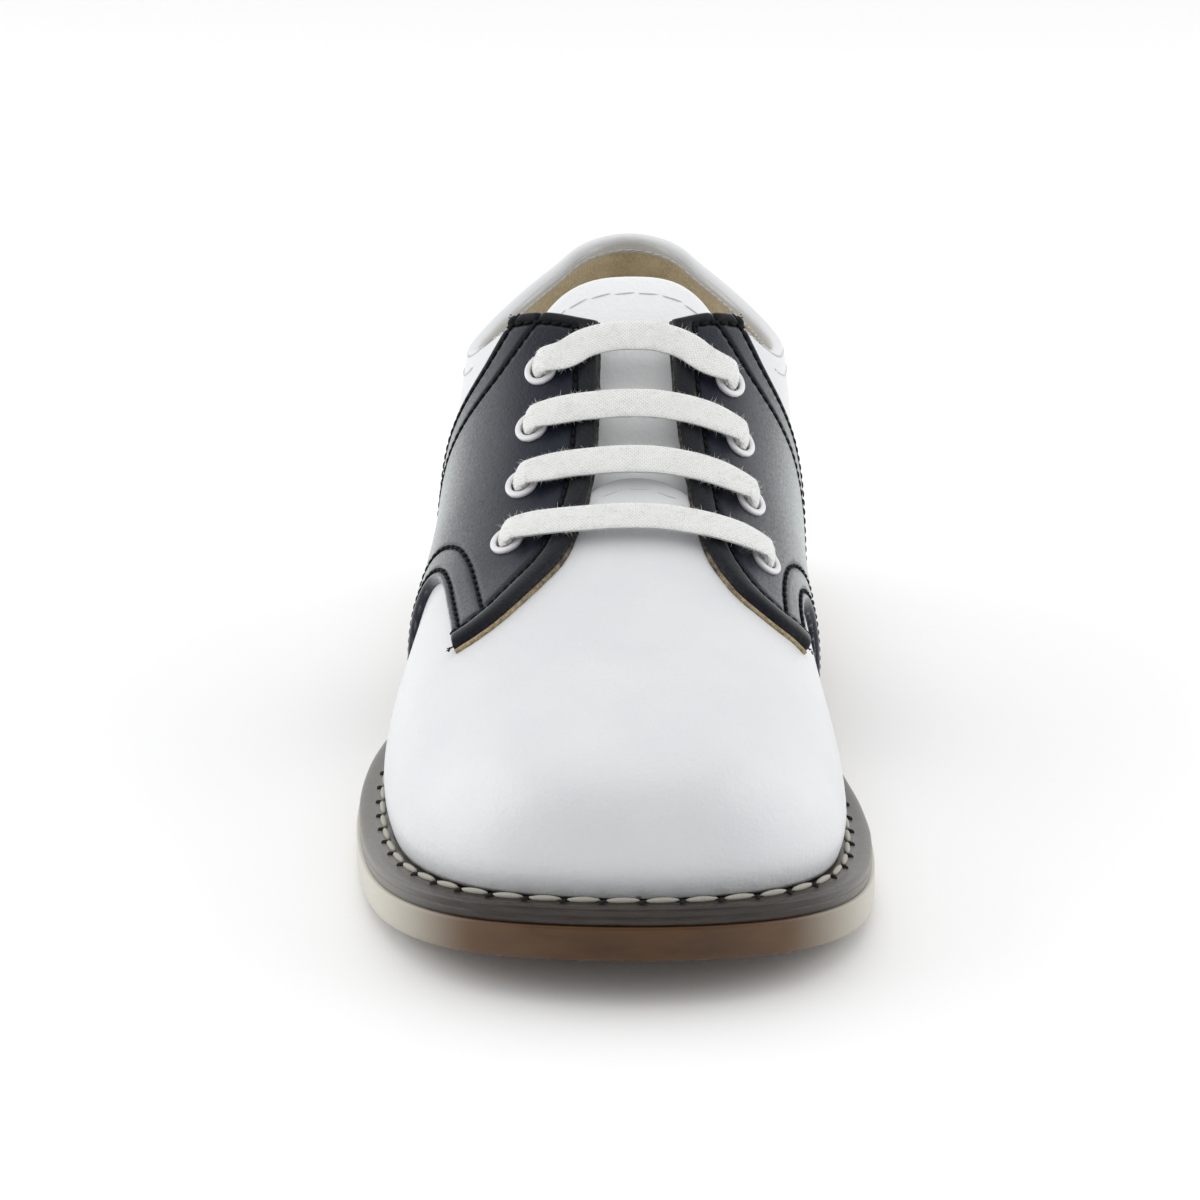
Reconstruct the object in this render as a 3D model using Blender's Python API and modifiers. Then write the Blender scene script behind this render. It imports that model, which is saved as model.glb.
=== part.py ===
"""A child's right saddle oxford, standing empty on its sole.

The toe points along -Y and the inner (medial) side of the foot along +X. Every wall, overlay and plate
is worked out from one last, the form that a shoe is made over: cross-sections from toe to heel, each
half of a section a superellipse from the feather edge, where upper meets sole, to the ridge on top.
A place on the last is a row (a place in LAST_TABLE, fractions between rows), a side and a climb from
the feather edge (0) to the ridge (1). LATERAL is the outer side of the foot, MEDIAL the inner one.
"""

import math

import bmesh
import bpy
import numpy as np
from mathutils import Matrix, Vector

MM = 0.001
LATERAL, MEDIAL = -1, 1
GAP = 0.3 * MM

# Driving sizes of the last, measured on the outside of the upper.
LAST_LENGTH = 177.0 * MM
BALL_HALF_WIDTH = 35.0 * MM
INSTEP_RISE = 60.0 * MM
HEEL_LIFT = 7.0 * MM
TOE_SPRING = 7.0 * MM
FEATHER_TUCK = 1.2 * MM
FEATHER_TUCK_HEIGHT = 6.0 * MM
HEEL_BULGE = 2.6 * MM
HEEL_LEAN = 3.2 * MM
COLLAR_HEIGHT = 49.0 * MM

# Sole: how far it stands out beyond the upper, and its layers.
MARGIN_TOE = 4.2 * MM
MARGIN_BALL = 4.0 * MM
MARGIN_WAIST = 2.1 * MM
MARGIN_HEEL = 2.8 * MM
MIDSOLE_THICKNESS = 2.8 * MM
OUTSOLE_THICKNESS = 5.0 * MM
HEEL_BREAST_RUN = 1.8 * MM
SOLE_EDGE_ROUND = 0.8 * MM
INSOLE_THICKNESS = 2.2 * MM

# Upper, saddle and tongue.
UPPER_WALL = 1.7 * MM
SADDLE_THICKNESS = 1.3 * MM
THROAT_OVERHANG = 0.6 * MM
TONGUE_THICKNESS = 1.5 * MM
TONGUE_CLEARANCE = 1.5 * MM

# Lacing: an eyelet is a flanged ring, and one flat lace makes every bar.
EYELET_HOLE_RADIUS = 1.75 * MM
EYELET_BARREL_WALL = 0.35 * MM
EYELET_FLANGE_WIDTH = 0.65 * MM
EYELET_FLANGE_HEIGHT = 0.6 * MM
LACE_WIDTH = 5.4 * MM
LACE_THICKNESS = 1.1 * MM
LACE_RUN_WIDTH = 2.9 * MM
LACE_BEND = 1.8 * MM

# The last from toe to heel. along is a share of LAST_LENGTH. lateral and medial, measured from the
# ridge, and the ridge's own offset to the medial side are shares of BALL_HALF_WIDTH. rise is a share
# of INSTEP_RISE above the feather edge, and square is the superellipse's exponent.
LAST_COLUMNS = ("along", "lateral", "medial", "ridge", "rise", "square")
LAST_TABLE = (
    (0.000, 0.000, 0.000, 0.040, 0.000, 2.15),
    (0.006, 0.305, 0.262, 0.040, 0.165, 2.20),
    (0.026, 0.592, 0.520, 0.038, 0.280, 2.25),
    (0.065, 0.805, 0.728, 0.035, 0.360, 2.30),
    (0.120, 0.955, 0.848, 0.030, 0.418, 2.30),
    (0.190, 1.045, 0.890, 0.028, 0.460, 2.25),
    (0.270, 1.090, 0.890, 0.028, 0.510, 2.22),
    (0.350, 1.088, 0.862, 0.028, 0.575, 2.22),
    (0.425, 1.040, 0.826, 0.028, 0.680, 2.26),
    (0.500, 0.972, 0.793, 0.026, 0.810, 2.32),
    (0.570, 0.912, 0.772, 0.024, 0.945, 2.45),
    (0.640, 0.878, 0.778, 0.018, 1.055, 2.75),
    (0.720, 0.846, 0.788, 0.010, 1.130, 3.05),
    (0.800, 0.805, 0.780, 0.004, 1.165, 2.95),
    (0.880, 0.716, 0.708, 0.000, 1.180, 2.35),
    (0.945, 0.540, 0.536, 0.000, 1.180, 2.00),
    (0.985, 0.295, 0.294, 0.000, 1.180, 1.95),
    (1.000, 0.000, 0.000, 0.000, 1.180, 1.95),
)
HEEL_ROW = len(LAST_TABLE) - 1
HEEL_CURVE_START = 0.72

# Side view of the last's bottom: lift is a share of HEEL_LIFT.
BOTTOM_TABLE = (
    (0.00, 0.00),
    (0.42, 0.00),
    (0.50, 0.16),
    (0.60, 0.62),
    (0.68, 0.92),
    (0.76, 1.00),
    (1.00, 1.00),
)
TOE_SPRING_START = 0.28
FLAT_START, FLAT_END = 0.28, 0.42
BREAST = 0.715

# How far the sole stands out on its lateral and its medial side, from toe to heel.
MARGIN_TABLE = (
    (0.00, MARGIN_TOE, MARGIN_TOE),
    (0.20, MARGIN_BALL, MARGIN_BALL),
    (0.26, MARGIN_BALL, 0.85 * MARGIN_BALL),
    (0.35, 0.90 * MARGIN_BALL, 0.50 * MARGIN_BALL),
    (0.45, 0.65 * MARGIN_BALL, 0.9 * MARGIN_WAIST),
    (0.60, MARGIN_WAIST, MARGIN_WAIST),
    (0.78, 1.1 * MARGIN_WAIST, 1.1 * MARGIN_WAIST),
    (1.00, MARGIN_HEEL, MARGIN_HEEL),
)

# The collar's edge seen from the side, from the top of the facing to behind the heel. Its height above
# the heel seat is instep times INSTEP_RISE plus collar times COLLAR_HEIGHT.
COLLAR_TABLE = (
    (0.500, 0.720, 0.000),
    (0.535, 0.800, 0.000),
    (0.551, 0.838, 0.000),
    (0.563, 0.867, 0.000),
    (0.575, 0.880, 0.000),
    (0.588, 0.882, 0.000),
    (0.602, 0.700, 0.204),
    (0.613, 0.550, 0.351),
    (0.627, 0.400, 0.473),
    (0.650, 0.200, 0.661),
    (0.680, 0.080, 0.769),
    (0.712, 0.000, 0.849),
    (0.768, 0.000, 0.814),
    (0.825, 0.000, 0.804),
    (0.881, 0.000, 0.831),
    (0.938, 0.000, 0.906),
    (0.960, 0.000, 0.968),
    (0.976, 0.000, 0.997),
    (0.994, 0.000, 1.009),
    (1.060, 0.000, 1.020),
)

# The saddle's throat and front edge on each side, seen from above, from the facing's top to the front
# tip and out past the side. across is a share of BALL_HALF_WIDTH from the ridge.
THROAT_TABLES = {
    LATERAL: (
        (0.640, 0.160),
        (0.540, 0.160),
        (0.490, 0.164),
        (0.433, 0.190),
        (0.384, 0.248),
        (0.350, 0.312),
        (0.322, 0.412),
        (0.290, 0.562),
        (0.278, 0.666),
        (0.276, 0.761),
        (0.276, 0.860),
    ),
    MEDIAL: (
        (0.640, 0.165),
        (0.540, 0.168),
        (0.480, 0.198),
        (0.433, 0.232),
        (0.391, 0.270),
        (0.352, 0.335),
        (0.320, 0.450),
        (0.310, 0.586),
        (0.318, 0.680),
        (0.330, 0.760),
        (0.344, 0.840),
    ),
}
# The saddle's arched front edge on each side, from before its tip down to the feather edge, and its
# rear edge from there up to the collar, seen from the side. height is a share of the section's rise.
ARCH_TABLES = {
    LATERAL: (
        (0.240, 0.770),
        (0.278, 0.764),
        (0.311, 0.752),
        (0.350, 0.728),
        (0.382, 0.700),
        (0.412, 0.650),
        (0.433, 0.565),
        (0.447, 0.440),
        (0.459, 0.290),
        (0.470, 0.110),
        (0.478, -0.120),
    ),
    MEDIAL: (
        (0.270, 0.610),
        (0.310, 0.610),
        (0.345, 0.612),
        (0.380, 0.605),
        (0.410, 0.570),
        (0.433, 0.490),
        (0.449, 0.380),
        (0.461, 0.250),
        (0.472, 0.100),
        (0.480, -0.120),
    ),
}
REAR_TABLE = (
    (0.652, -0.120),
    (0.645, 0.100),
    (0.636, 0.300),
    (0.620, 0.500),
    (0.602, 0.660),
    (0.595, 0.760),
    (0.598, 0.830),
    (0.612, 0.920),
    (0.625, 1.150),
)
# The vamp's edge over the tongue, a shallow arc between the facings.
VAMP_EDGE_ALONG = 0.416
VAMP_EDGE_ARC = 2.8 * MM

# Eyelets, from the bottom row up: along is a share of LAST_LENGTH and across of BALL_HALF_WIDTH. bow is
# how far heelward the middle of the row's lace bar lies, a share of LAST_LENGTH.
EYELET_TABLE = (
    (0.384, 0.540, -0.003),
    (0.442, 0.482, 0.000),
    (0.494, 0.442, 0.000),
    (0.541, 0.404, 0.010),
)
# The tongue's half width from its lower end up, a share of BALL_HALF_WIDTH.
TONGUE_TABLE = (
    (0.380, 0.260),
    (0.430, 0.300),
    (0.500, 0.318),
    (0.545, 0.326),
    (0.585, 0.520),
    (0.640, 0.560),
)
TONGUE_START, TONGUE_TOP = 0.385, 0.626
TONGUE_TOP_ROUND = 5.5 * MM
TONGUE_TOP_SQUARE = 2.1


def mirrored_spline(values, odd_start, odd_end):
    """A smooth function through values at 0, 1, 2 and so on, mirrored past both ends."""
    values = np.asarray(values, float)
    head = values[3:0:-1]
    tail = values[-2:-5:-1]
    head = 2 * values[0] - head if odd_start else head
    tail = 2 * values[-1] - tail if odd_end else tail
    knots = np.concatenate([head, values, tail])
    count = len(knots)
    matrix = np.zeros((count, count))
    bend = np.zeros(count)
    matrix[0, 0] = matrix[-1, -1] = 1.0
    for i in range(1, count - 1):
        matrix[i, i - 1 : i + 2] = (1.0, 4.0, 1.0)
        bend[i] = 6.0 * (knots[i - 1] - 2 * knots[i] + knots[i + 1])
    second = np.linalg.solve(matrix, bend)

    def value(row):
        place = row + 3
        i = min(max(int(math.floor(place)), 0), count - 2)
        b = place - i
        a = 1.0 - b
        curved = (a**3 - a) * second[i] + (b**3 - b) * second[i + 1]
        return float(a * knots[i] + b * knots[i + 1] + curved / 6.0)

    return value


def monotone_curve(table, column=1):
    """A function of the table's first column, with no overshoot between its rows."""
    xs = np.array([row[0] for row in table])
    ys = np.array([row[column] for row in table])
    steps = np.diff(xs)
    slopes = np.diff(ys) / steps
    ends = [slopes[0]]
    for left, right in zip(slopes[:-1], slopes[1:]):
        ends.append(0.0 if left * right <= 0 else 2 * left * right / (left + right))
    ends.append(slopes[-1])

    def value(x):
        x = min(max(x, xs[0]), xs[-1])
        i = min(max(int(np.searchsorted(xs, x)) - 1, 0), len(steps) - 1)
        t = (x - xs[i]) / steps[i]
        start = (2 * t**3 - 3 * t**2 + 1) * ys[i] + (t**3 - 2 * t**2 + t) * steps[i] * ends[i]
        end = (3 * t**2 - 2 * t**3) * ys[i + 1] + (t**3 - t**2) * steps[i] * ends[i + 1]
        return float(start + end)

    return value


def smooth_step(x):
    x = min(max(x, 0.0), 1.0)
    return x * x * (3.0 - 2.0 * x)


def rounded_path(points, steps=4):
    """The points joined by a smooth curve through all of them."""
    points = [Vector(p) for p in points]
    padded = [2 * points[0] - points[1]] + points + [2 * points[-1] - points[-2]]
    path = []
    for before, start, end, after in zip(padded, padded[1:], padded[2:], padded[3:]):
        for k in range(steps):
            t = k / steps
            path.append(
                0.5
                * (
                    2 * start
                    + (end - before) * t
                    + (2 * before - 5 * start + 4 * end - after) * t**2
                    + (3 * start - before - 3 * end + after) * t**3
                )
            )
    path.append(points[-1])
    return path


def last_curve(name):
    mirrored = name in ("lateral", "medial")
    values = [row[LAST_COLUMNS.index(name)] for row in LAST_TABLE]
    return mirrored_spline(values, mirrored or name == "rise", mirrored)


LAST = {name: last_curve(name) for name in LAST_COLUMNS}
BOTTOM = monotone_curve(BOTTOM_TABLE)
MARGIN = {LATERAL: monotone_curve(MARGIN_TABLE, 1), MEDIAL: monotone_curve(MARGIN_TABLE, 2)}
TONGUE_HALF_WIDTH = monotone_curve(TONGUE_TABLE)


def side_name(side):
    return "lateral" if side < 0 else "medial"


def half_width(row, side):
    return LAST[side_name(side)](row) * BALL_HALF_WIDTH


def ridge_offset(row):
    return LAST["ridge"](row) * BALL_HALF_WIDTH


def feather_height(along):
    """Height of the last's bottom edge above the floor."""
    sole = OUTSOLE_THICKNESS + MIDSOLE_THICKNESS + 2 * GAP
    spring = max(0.0, TOE_SPRING_START - along) / (TOE_SPRING_START + MARGIN_TOE / LAST_LENGTH)
    return sole + HEEL_LIFT * BOTTOM(along) + TOE_SPRING * spring**2


def plan_normal(row, side):
    """The last's outline turned outwards, seen from above."""
    if row <= 0:
        return 0.0, -1.0
    if row >= HEEL_ROW:
        return 0.0, 1.0
    low, high = max(row - 0.01, 0.0), min(row + 0.01, HEEL_ROW)
    dx = half_width(high, side) - half_width(low, side)
    dy = (LAST["along"](high) - LAST["along"](low)) * LAST_LENGTH
    length = math.hypot(dx, dy)
    return side * dy / length, -dx / length


def last_point(row, side, climb):
    """A point of the last as x, distance from its toe, and height above the floor."""
    angle = climb * math.pi / 2
    power = 2 / LAST["square"](row)
    height = LAST["rise"](row) * INSTEP_RISE * max(math.sin(angle), 0.0) ** power
    nx, ny = plan_normal(row, side)
    tuck = FEATHER_TUCK * max(0.0, 1 - height / FEATHER_TUCK_HEIGHT) ** 2
    along = LAST["along"](row)
    x = ridge_offset(row) + side * half_width(row, side) * max(math.cos(angle), 0.0) ** power
    y = along * LAST_LENGTH - ny * tuck
    up = height / COLLAR_HEIGHT
    back = smooth_step((along - HEEL_CURVE_START) / (1 - HEEL_CURVE_START))
    y += back * (HEEL_BULGE * 4 * up * (1 - up) - HEEL_LEAN * up * up)
    return Vector((x - nx * tuck, y, feather_height(y / LAST_LENGTH) + height))


def last_normal(row, side, climb):
    """The last's outward direction at the same place."""
    if row <= 0:
        return Vector((0, -1, 0))
    middle_row = min(max(row, 0.04), HEEL_ROW - 0.04)
    middle = min(max(climb, 0.012), 1.0)
    along_it = last_point(middle_row + 0.03, side, middle) - last_point(middle_row - 0.03, side, middle)
    if middle > 0.985:
        across = Vector((-side, 0, 0))
    else:
        across = last_point(middle_row, side, middle + 0.01) - last_point(middle_row, side, middle - 0.01)
    normal = along_it.cross(across) * side
    if row >= HEEL_ROW:
        normal.x = 0
    return normal.normalized()


def shell_point(row, side, climb, out):
    """A point at a distance outside the last, or inside it where out is negative."""
    return last_point(row, side, climb) + last_normal(row, side, climb) * out


def row_at(along):
    """The row where the last has a given share of its length."""
    low, high = 0.0, float(HEEL_ROW)
    for _ in range(40):
        middle = (low + high) / 2
        if LAST["along"](middle) < along:
            low = middle
        else:
            high = middle
    return (low + high) / 2


def place_across(along, across):
    """The row, side and climb at a signed distance from the ridge."""
    row = row_at(along)
    side = LATERAL if across < 0 else MEDIAL
    share = min(abs(across) / half_width(row, side), 1.0)
    return row, side, math.acos(share ** (LAST["square"](row) / 2)) / (math.pi / 2)


def surface_frame(along, across):
    """The last's point, outward direction, heelward direction and medial direction at a place."""
    row, side, climb = place_across(along, across)
    normal = last_normal(row, side, climb)
    heelward = Vector((0, 1, 0)) - normal * normal.y
    heelward.normalize()
    return last_point(row, side, climb), normal, heelward, heelward.cross(normal)


def sole_half(side, outset):
    """One half of the sole's outline, moved outwards by outset: lists of y and of x, from toe to heel."""
    ys, xs = [], []
    for i in range(241):
        row = HEEL_ROW * i / 240
        nx, ny = plan_normal(row, side)
        away = MARGIN[side](LAST["along"](row)) + outset
        ys.append(LAST["along"](row) * LAST_LENGTH + ny * away)
        xs.append(ridge_offset(row) + side * half_width(row, side) + nx * away)
    return ys, xs


def outline_middle():
    """The middle of the sole's outline, which the shared frame's origin lies under."""
    lateral, medial = sole_half(LATERAL, 0), sole_half(MEDIAL, 0)
    return (min(lateral[1]) + max(medial[1])) / 2, (lateral[0][0] + lateral[0][-1]) / 2


MIDDLE_X, MIDDLE_Y = outline_middle()


def placed(point):
    return Vector((point[0] - MIDDLE_X, point[1] - MIDDLE_Y, point[2]))


def clear_scene():
    for thing in list(bpy.data.objects):
        bpy.data.objects.remove(thing, do_unlink=True)


def new_collection(name):
    collection = bpy.data.collections.new(name)
    bpy.context.scene.collection.children.link(collection)
    return collection


def new_material(name, color, roughness, metallic=0.0):
    material = bpy.data.materials.new(name)
    material.use_nodes = True
    shader = material.node_tree.nodes["Principled BSDF"]
    shader.inputs["Base Color"].default_value = (*color, 1.0)
    shader.inputs["Roughness"].default_value = roughness
    shader.inputs["Metallic"].default_value = metallic
    return material


def mesh_object(name, points, faces, collection, material=None, smooth=True):
    """A mesh from lofted sections, its doubled points welded and its faces turned outwards."""
    mesh = bpy.data.meshes.new(name)
    form = bmesh.new()
    corners = [form.verts.new(placed(point)) for point in points]
    for face in faces:
        form.faces.new([corners[i] for i in face])
    bmesh.ops.remove_doubles(form, verts=form.verts, dist=1e-6)
    bmesh.ops.dissolve_degenerate(form, edges=form.edges, dist=1e-7)
    bmesh.ops.recalc_face_normals(form, faces=form.faces)
    for face in form.faces:
        face.smooth = smooth
    form.to_mesh(mesh)
    form.free()
    thing = bpy.data.objects.new(name, mesh)
    collection.objects.link(thing)
    if material:
        mesh.materials.append(material)
    return thing


def loft(sections, closed=False):
    """Faces between neighbouring sections of equal length, as indices into the joined sections."""
    count = len(sections[0])
    faces = []
    for i in range(len(sections) - 1):
        for k in range(count if closed else count - 1):
            a, b = i * count + k, i * count + (k + 1) % count
            faces.append((a, b, b + count, a + count))
    return faces


def slab(name, outer, inner, collection, material):
    """A closed sheet between two grids of points, with walls along its four borders."""
    rows, columns = len(outer), len(outer[0])
    points = [p for line in outer for p in line] + [p for line in inner for p in line]
    shift = rows * columns
    faces = loft(outer) + [tuple(i + shift for i in reversed(face)) for face in loft(inner)]
    border = [k for k in range(columns)]
    border += [i * columns + columns - 1 for i in range(1, rows)]
    border += [(rows - 1) * columns + k for k in range(columns - 2, -1, -1)]
    border += [i * columns for i in range(rows - 2, 0, -1)]
    for a, b in zip(border, border[1:] + border[:1]):
        faces.append((b, a, a + shift, b + shift))
    return mesh_object(name, points, faces, collection, material)


def prism(name, outline, axis, reach, collection):
    """A cutter: a flat outline extruded both ways along X (outline in Y and Z) or Z (in X and Y)."""
    form = bmesh.new()
    if axis == "X":
        corners = [form.verts.new(placed((-reach, a, b))) for a, b in outline]
        push = Vector((2 * reach, 0, 0))
    else:
        corners = [form.verts.new(placed((a, b, -0.05))) for a, b in outline]
        push = Vector((0, 0, 2 * reach))
    face = form.faces.new(corners)
    grown = bmesh.ops.extrude_face_region(form, geom=[face])
    moved = [part for part in grown["geom"] if isinstance(part, bmesh.types.BMVert)]
    bmesh.ops.translate(form, verts=moved, vec=push)
    bmesh.ops.recalc_face_normals(form, faces=form.faces)
    mesh = bpy.data.meshes.new(name)
    form.to_mesh(mesh)
    form.free()
    thing = bpy.data.objects.new(name, mesh)
    return as_cutter(thing, collection)


def as_cutter(thing, collection):
    if thing.name not in collection.objects:
        collection.objects.link(thing)
    thing.hide_render = True
    thing.display_type = "WIRE"
    return thing


def cut(thing, cutter, operation="DIFFERENCE"):
    modifier = thing.modifiers.new(f"{operation.lower()} {cutter.name}", "BOOLEAN")
    modifier.operation = operation
    modifier.solver = "EXACT"
    modifier.object = cutter


def collar_line():
    """The collar's edge seen from the side, as distances from the toe and heights."""
    seat = feather_height(1.0)
    points = [
        (along * LAST_LENGTH, seat + instep * INSTEP_RISE + collar * COLLAR_HEIGHT, 0)
        for along, instep, collar in COLLAR_TABLE
    ]
    return [(p.x, p.y) for p in rounded_path(points)]


def collar_cutter(collection):
    line = collar_line()
    top = line[-1][1] + 2 * INSTEP_RISE
    outline = line + [(line[-1][0], top), (line[0][0], top)]
    return prism("cut_collar", outline, "X", 2 * BALL_HALF_WIDTH, collection)


def throat_line(side, widen=0.0):
    """The throat's edge and the saddle's front edge on one side, seen from above."""
    points = []
    for along, across in THROAT_TABLES[side]:
        x = ridge_offset(row_at(along)) + side * (across * BALL_HALF_WIDTH + widen)
        points.append((x, along * LAST_LENGTH, 0))
    return [(p.x, p.y) for p in rounded_path(points)]


def slot_cutter(collection):
    """Opens the upper between the facings, down to the vamp's arched edge over the tongue."""
    edge = VAMP_EDGE_ALONG * LAST_LENGTH
    sides = {}
    for side in (LATERAL, MEDIAL):
        sides[side] = [p for p in throat_line(side, THROAT_OVERHANG) if p[1] > edge + VAMP_EDGE_ARC * 0.3]
    left, right = sides[LATERAL][-1][0], sides[MEDIAL][-1][0]
    arc = []
    for k in range(1, 8):
        t = k / 8
        arc.append((left + (right - left) * t, edge + VAMP_EDGE_ARC * 4 * t * (1 - t)))
    outline = sides[LATERAL] + [(left, edge)] + arc + [(right, edge)] + sides[MEDIAL][::-1]
    return prism("cut_throat", outline, "Z", 2 * INSTEP_RISE, collection)


def eyelet_places(side):
    for along, across, _ in EYELET_TABLE:
        yield along, side * across * BALL_HALF_WIDTH


def eyelet_cutter(side, collection):
    """The holes that one side's eyelets pass through, in saddle and upper alike."""
    form = bmesh.new()
    radius = EYELET_HOLE_RADIUS + EYELET_BARREL_WALL + GAP
    for along, across in eyelet_places(side):
        point, normal, _, _ = surface_frame(along, across)
        turn = normal.to_track_quat("Z", "Y").to_matrix().to_4x4()
        bmesh.ops.create_cone(
            form,
            cap_ends=True,
            segments=16,
            radius1=radius,
            radius2=radius,
            depth=4 * (UPPER_WALL + SADDLE_THICKNESS),
            matrix=Matrix.Translation(placed(point)) @ turn,
        )
    name = f"cut_eyelets_{side_name(side)}"
    mesh = bpy.data.meshes.new(name)
    form.to_mesh(mesh)
    form.free()
    return as_cutter(bpy.data.objects.new(name, mesh), collection)


def climbs(low=0.0, high=1.0, count=11):
    inner = [k / count for k in range(1, count) if low < k / count < high]
    return [low] + inner + [high]


def make_upper(collection, material, cutters):
    """Vamp, quarters and the facings' backing in one wall, open at the collar, throat and bottom."""
    rows = [k / 2 for k in range(2 * HEEL_ROW + 1)]
    places = [(LATERAL, c) for c in climbs()] + [(MEDIAL, c) for c in climbs()[-2::-1]]
    outer = [[last_point(row, side, c) for side, c in places] for row in rows]
    inner = [[shell_point(row, side, c, -UPPER_WALL) for side, c in places] for row in rows]
    shift = len(rows) * len(places)
    points = [p for line in outer for p in line] + [p for line in inner for p in line]
    faces = loft(outer) + [tuple(i + shift for i in reversed(face)) for face in loft(inner)]
    for i in range(len(rows) - 1):
        for k in (0, len(places) - 1):
            a, b = i * len(places) + k, (i + 1) * len(places) + k
            faces.append((a, b, b + shift, a + shift))
    upper = mesh_object("upper", points, faces, collection, material)
    for cutter in cutters:
        cut(upper, cutter)
    return upper


def saddle_outline_side(side):
    """The saddle's arched front edge and rear edge, seen from the side."""

    def line(table):
        points = []
        for along, height in table:
            row = row_at(along)
            rise = LAST["rise"](row) * INSTEP_RISE
            points.append((along * LAST_LENGTH, feather_height(along) + height * rise, 0))
        return [(p.x, p.y) for p in rounded_path(points)]

    top = feather_height(1.0) + 2 * INSTEP_RISE
    front, rear = line(ARCH_TABLES[side]), line(REAR_TABLE)
    return front + rear + [(rear[-1][0], top), (front[0][0], top)]


def make_saddle(side, collection, material, collar, holes, cutters):
    """One half of the saddle, cut from a wall between two larger forms outside the upper."""
    rows = [4 + k / 2 for k in range(16)]
    steps = climbs(0.01, 0.985)
    outer = [[shell_point(row, side, c, GAP + SADDLE_THICKNESS) for c in steps] for row in rows]
    inner = [[shell_point(row, side, c, GAP) for c in steps] for row in rows]
    saddle = slab(f"saddle_{side_name(side)}", outer, inner, collection, material)
    line = throat_line(side)
    far = side * 2 * BALL_HALF_WIDTH
    outline = line + [(far, line[-1][1]), (far, line[0][1])]
    throat = prism(f"cut_front_{side_name(side)}", outline, "Z", 2 * INSTEP_RISE, cutters)
    name = f"cut_edges_{side_name(side)}"
    edges = prism(name, saddle_outline_side(side), "X", 2 * BALL_HALF_WIDTH, cutters)
    cut(saddle, edges, "INTERSECT")
    cut(saddle, throat, "INTERSECT")
    cut(saddle, collar)
    cut(saddle, holes)
    return saddle


def tongue_depth(along):
    """How far the tongue's face lies under the last's: close at the vamp, clear of the lace above it."""
    near = UPPER_WALL + GAP
    return near + TONGUE_CLEARANCE * smooth_step((along - 0.40) / 0.07)


def make_tongue(collection, material):
    """A sheet under the facings, from beneath the vamp's edge to its rounded top."""
    columns = [math.sin(k * math.pi / 16) for k in range(-8, 9)]
    face, back = [], []
    for share in columns:
        flat = (1 - abs(share) ** TONGUE_TOP_SQUARE) ** (1 / TONGUE_TOP_SQUARE)
        top = TONGUE_TOP - (1 - flat) * TONGUE_TOP_ROUND / LAST_LENGTH
        line_face, line_back = [], []
        for k in range(13):
            along = TONGUE_START + (top - TONGUE_START) * k / 12
            across = share * TONGUE_HALF_WIDTH(along) * BALL_HALF_WIDTH
            row, side, climb = place_across(along, across)
            depth = tongue_depth(along)
            line_face.append(shell_point(row, side, climb, -depth))
            line_back.append(shell_point(row, side, climb, -depth - TONGUE_THICKNESS))
        face.append(line_face)
        back.append(line_back)
    return slab("tongue", face, back, collection, material)


def plate(name, levels, marks, collection, material):
    """A plate with the sole's outline: each level has an outset and a height for every distance."""
    count = 56
    nominal = []
    loops = []
    for outset, height in levels:
        halves = {side: sole_half(side, outset) for side in (LATERAL, MEDIAL)}
        low, high = halves[LATERAL][0][0], halves[LATERAL][0][-1]
        ys = [low + (high - low) * (1 - math.cos(math.pi * k / count)) / 2 for k in range(count + 1)]
        nominal = nominal or list(ys)
        for mark in marks:
            ys[int(np.argmin([abs(y - mark) for y in nominal]))] = mark
        loop = {}
        for side, (along, across) in halves.items():
            loop[side] = [(float(np.interp(y, along, across)), y, height(y)) for y in ys]
        loops.append(loop)
    around = [(level, LATERAL) for level in range(len(levels))]
    around += [(level, MEDIAL) for level in reversed(range(len(levels)))]
    sections = [[loops[level][side][k] for level, side in around] for k in range(count + 1)]
    points = [p for section in sections for p in section]
    return mesh_object(name, points, loft(sections, closed=True), collection, material, smooth=False)


def insole_top(y):
    return feather_height(y / LAST_LENGTH) + INSOLE_THICKNESS


def insole_bottom(y):
    return feather_height(y / LAST_LENGTH)


def midsole_top(y):
    return feather_height(y / LAST_LENGTH) - GAP


def midsole_bottom(y):
    return midsole_top(y) - MIDSOLE_THICKNESS


def outsole_top(y):
    return midsole_bottom(y) - GAP


def outsole_bottom(y):
    """Flat under the forefoot and the heel, hollow between them and sprung at the toe."""
    hollow = max(outsole_top(y) - OUTSOLE_THICKNESS, 0.0)
    breast = BREAST * LAST_LENGTH
    return hollow * (1 - min(max((y - breast) / HEEL_BREAST_RUN, 0.0), 1.0))


def make_soles(collection, midsole, outsole):
    """The dark welted midsole, and the outsole with its low moulded heel."""
    breast = BREAST * LAST_LENGTH
    flats = [FLAT_START * LAST_LENGTH, FLAT_END * LAST_LENGTH]
    marks = flats + [breast, breast + HEEL_BREAST_RUN]
    edge = SOLE_EDGE_ROUND
    plate("midsole", [(0, midsole_top), (0, midsole_bottom)], [], collection, midsole)
    levels = [
        (0, outsole_top),
        (0, lambda y: outsole_bottom(y) + edge),
        (-edge, outsole_bottom),
    ]
    plate("outsole", levels, marks, collection, outsole)


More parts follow.
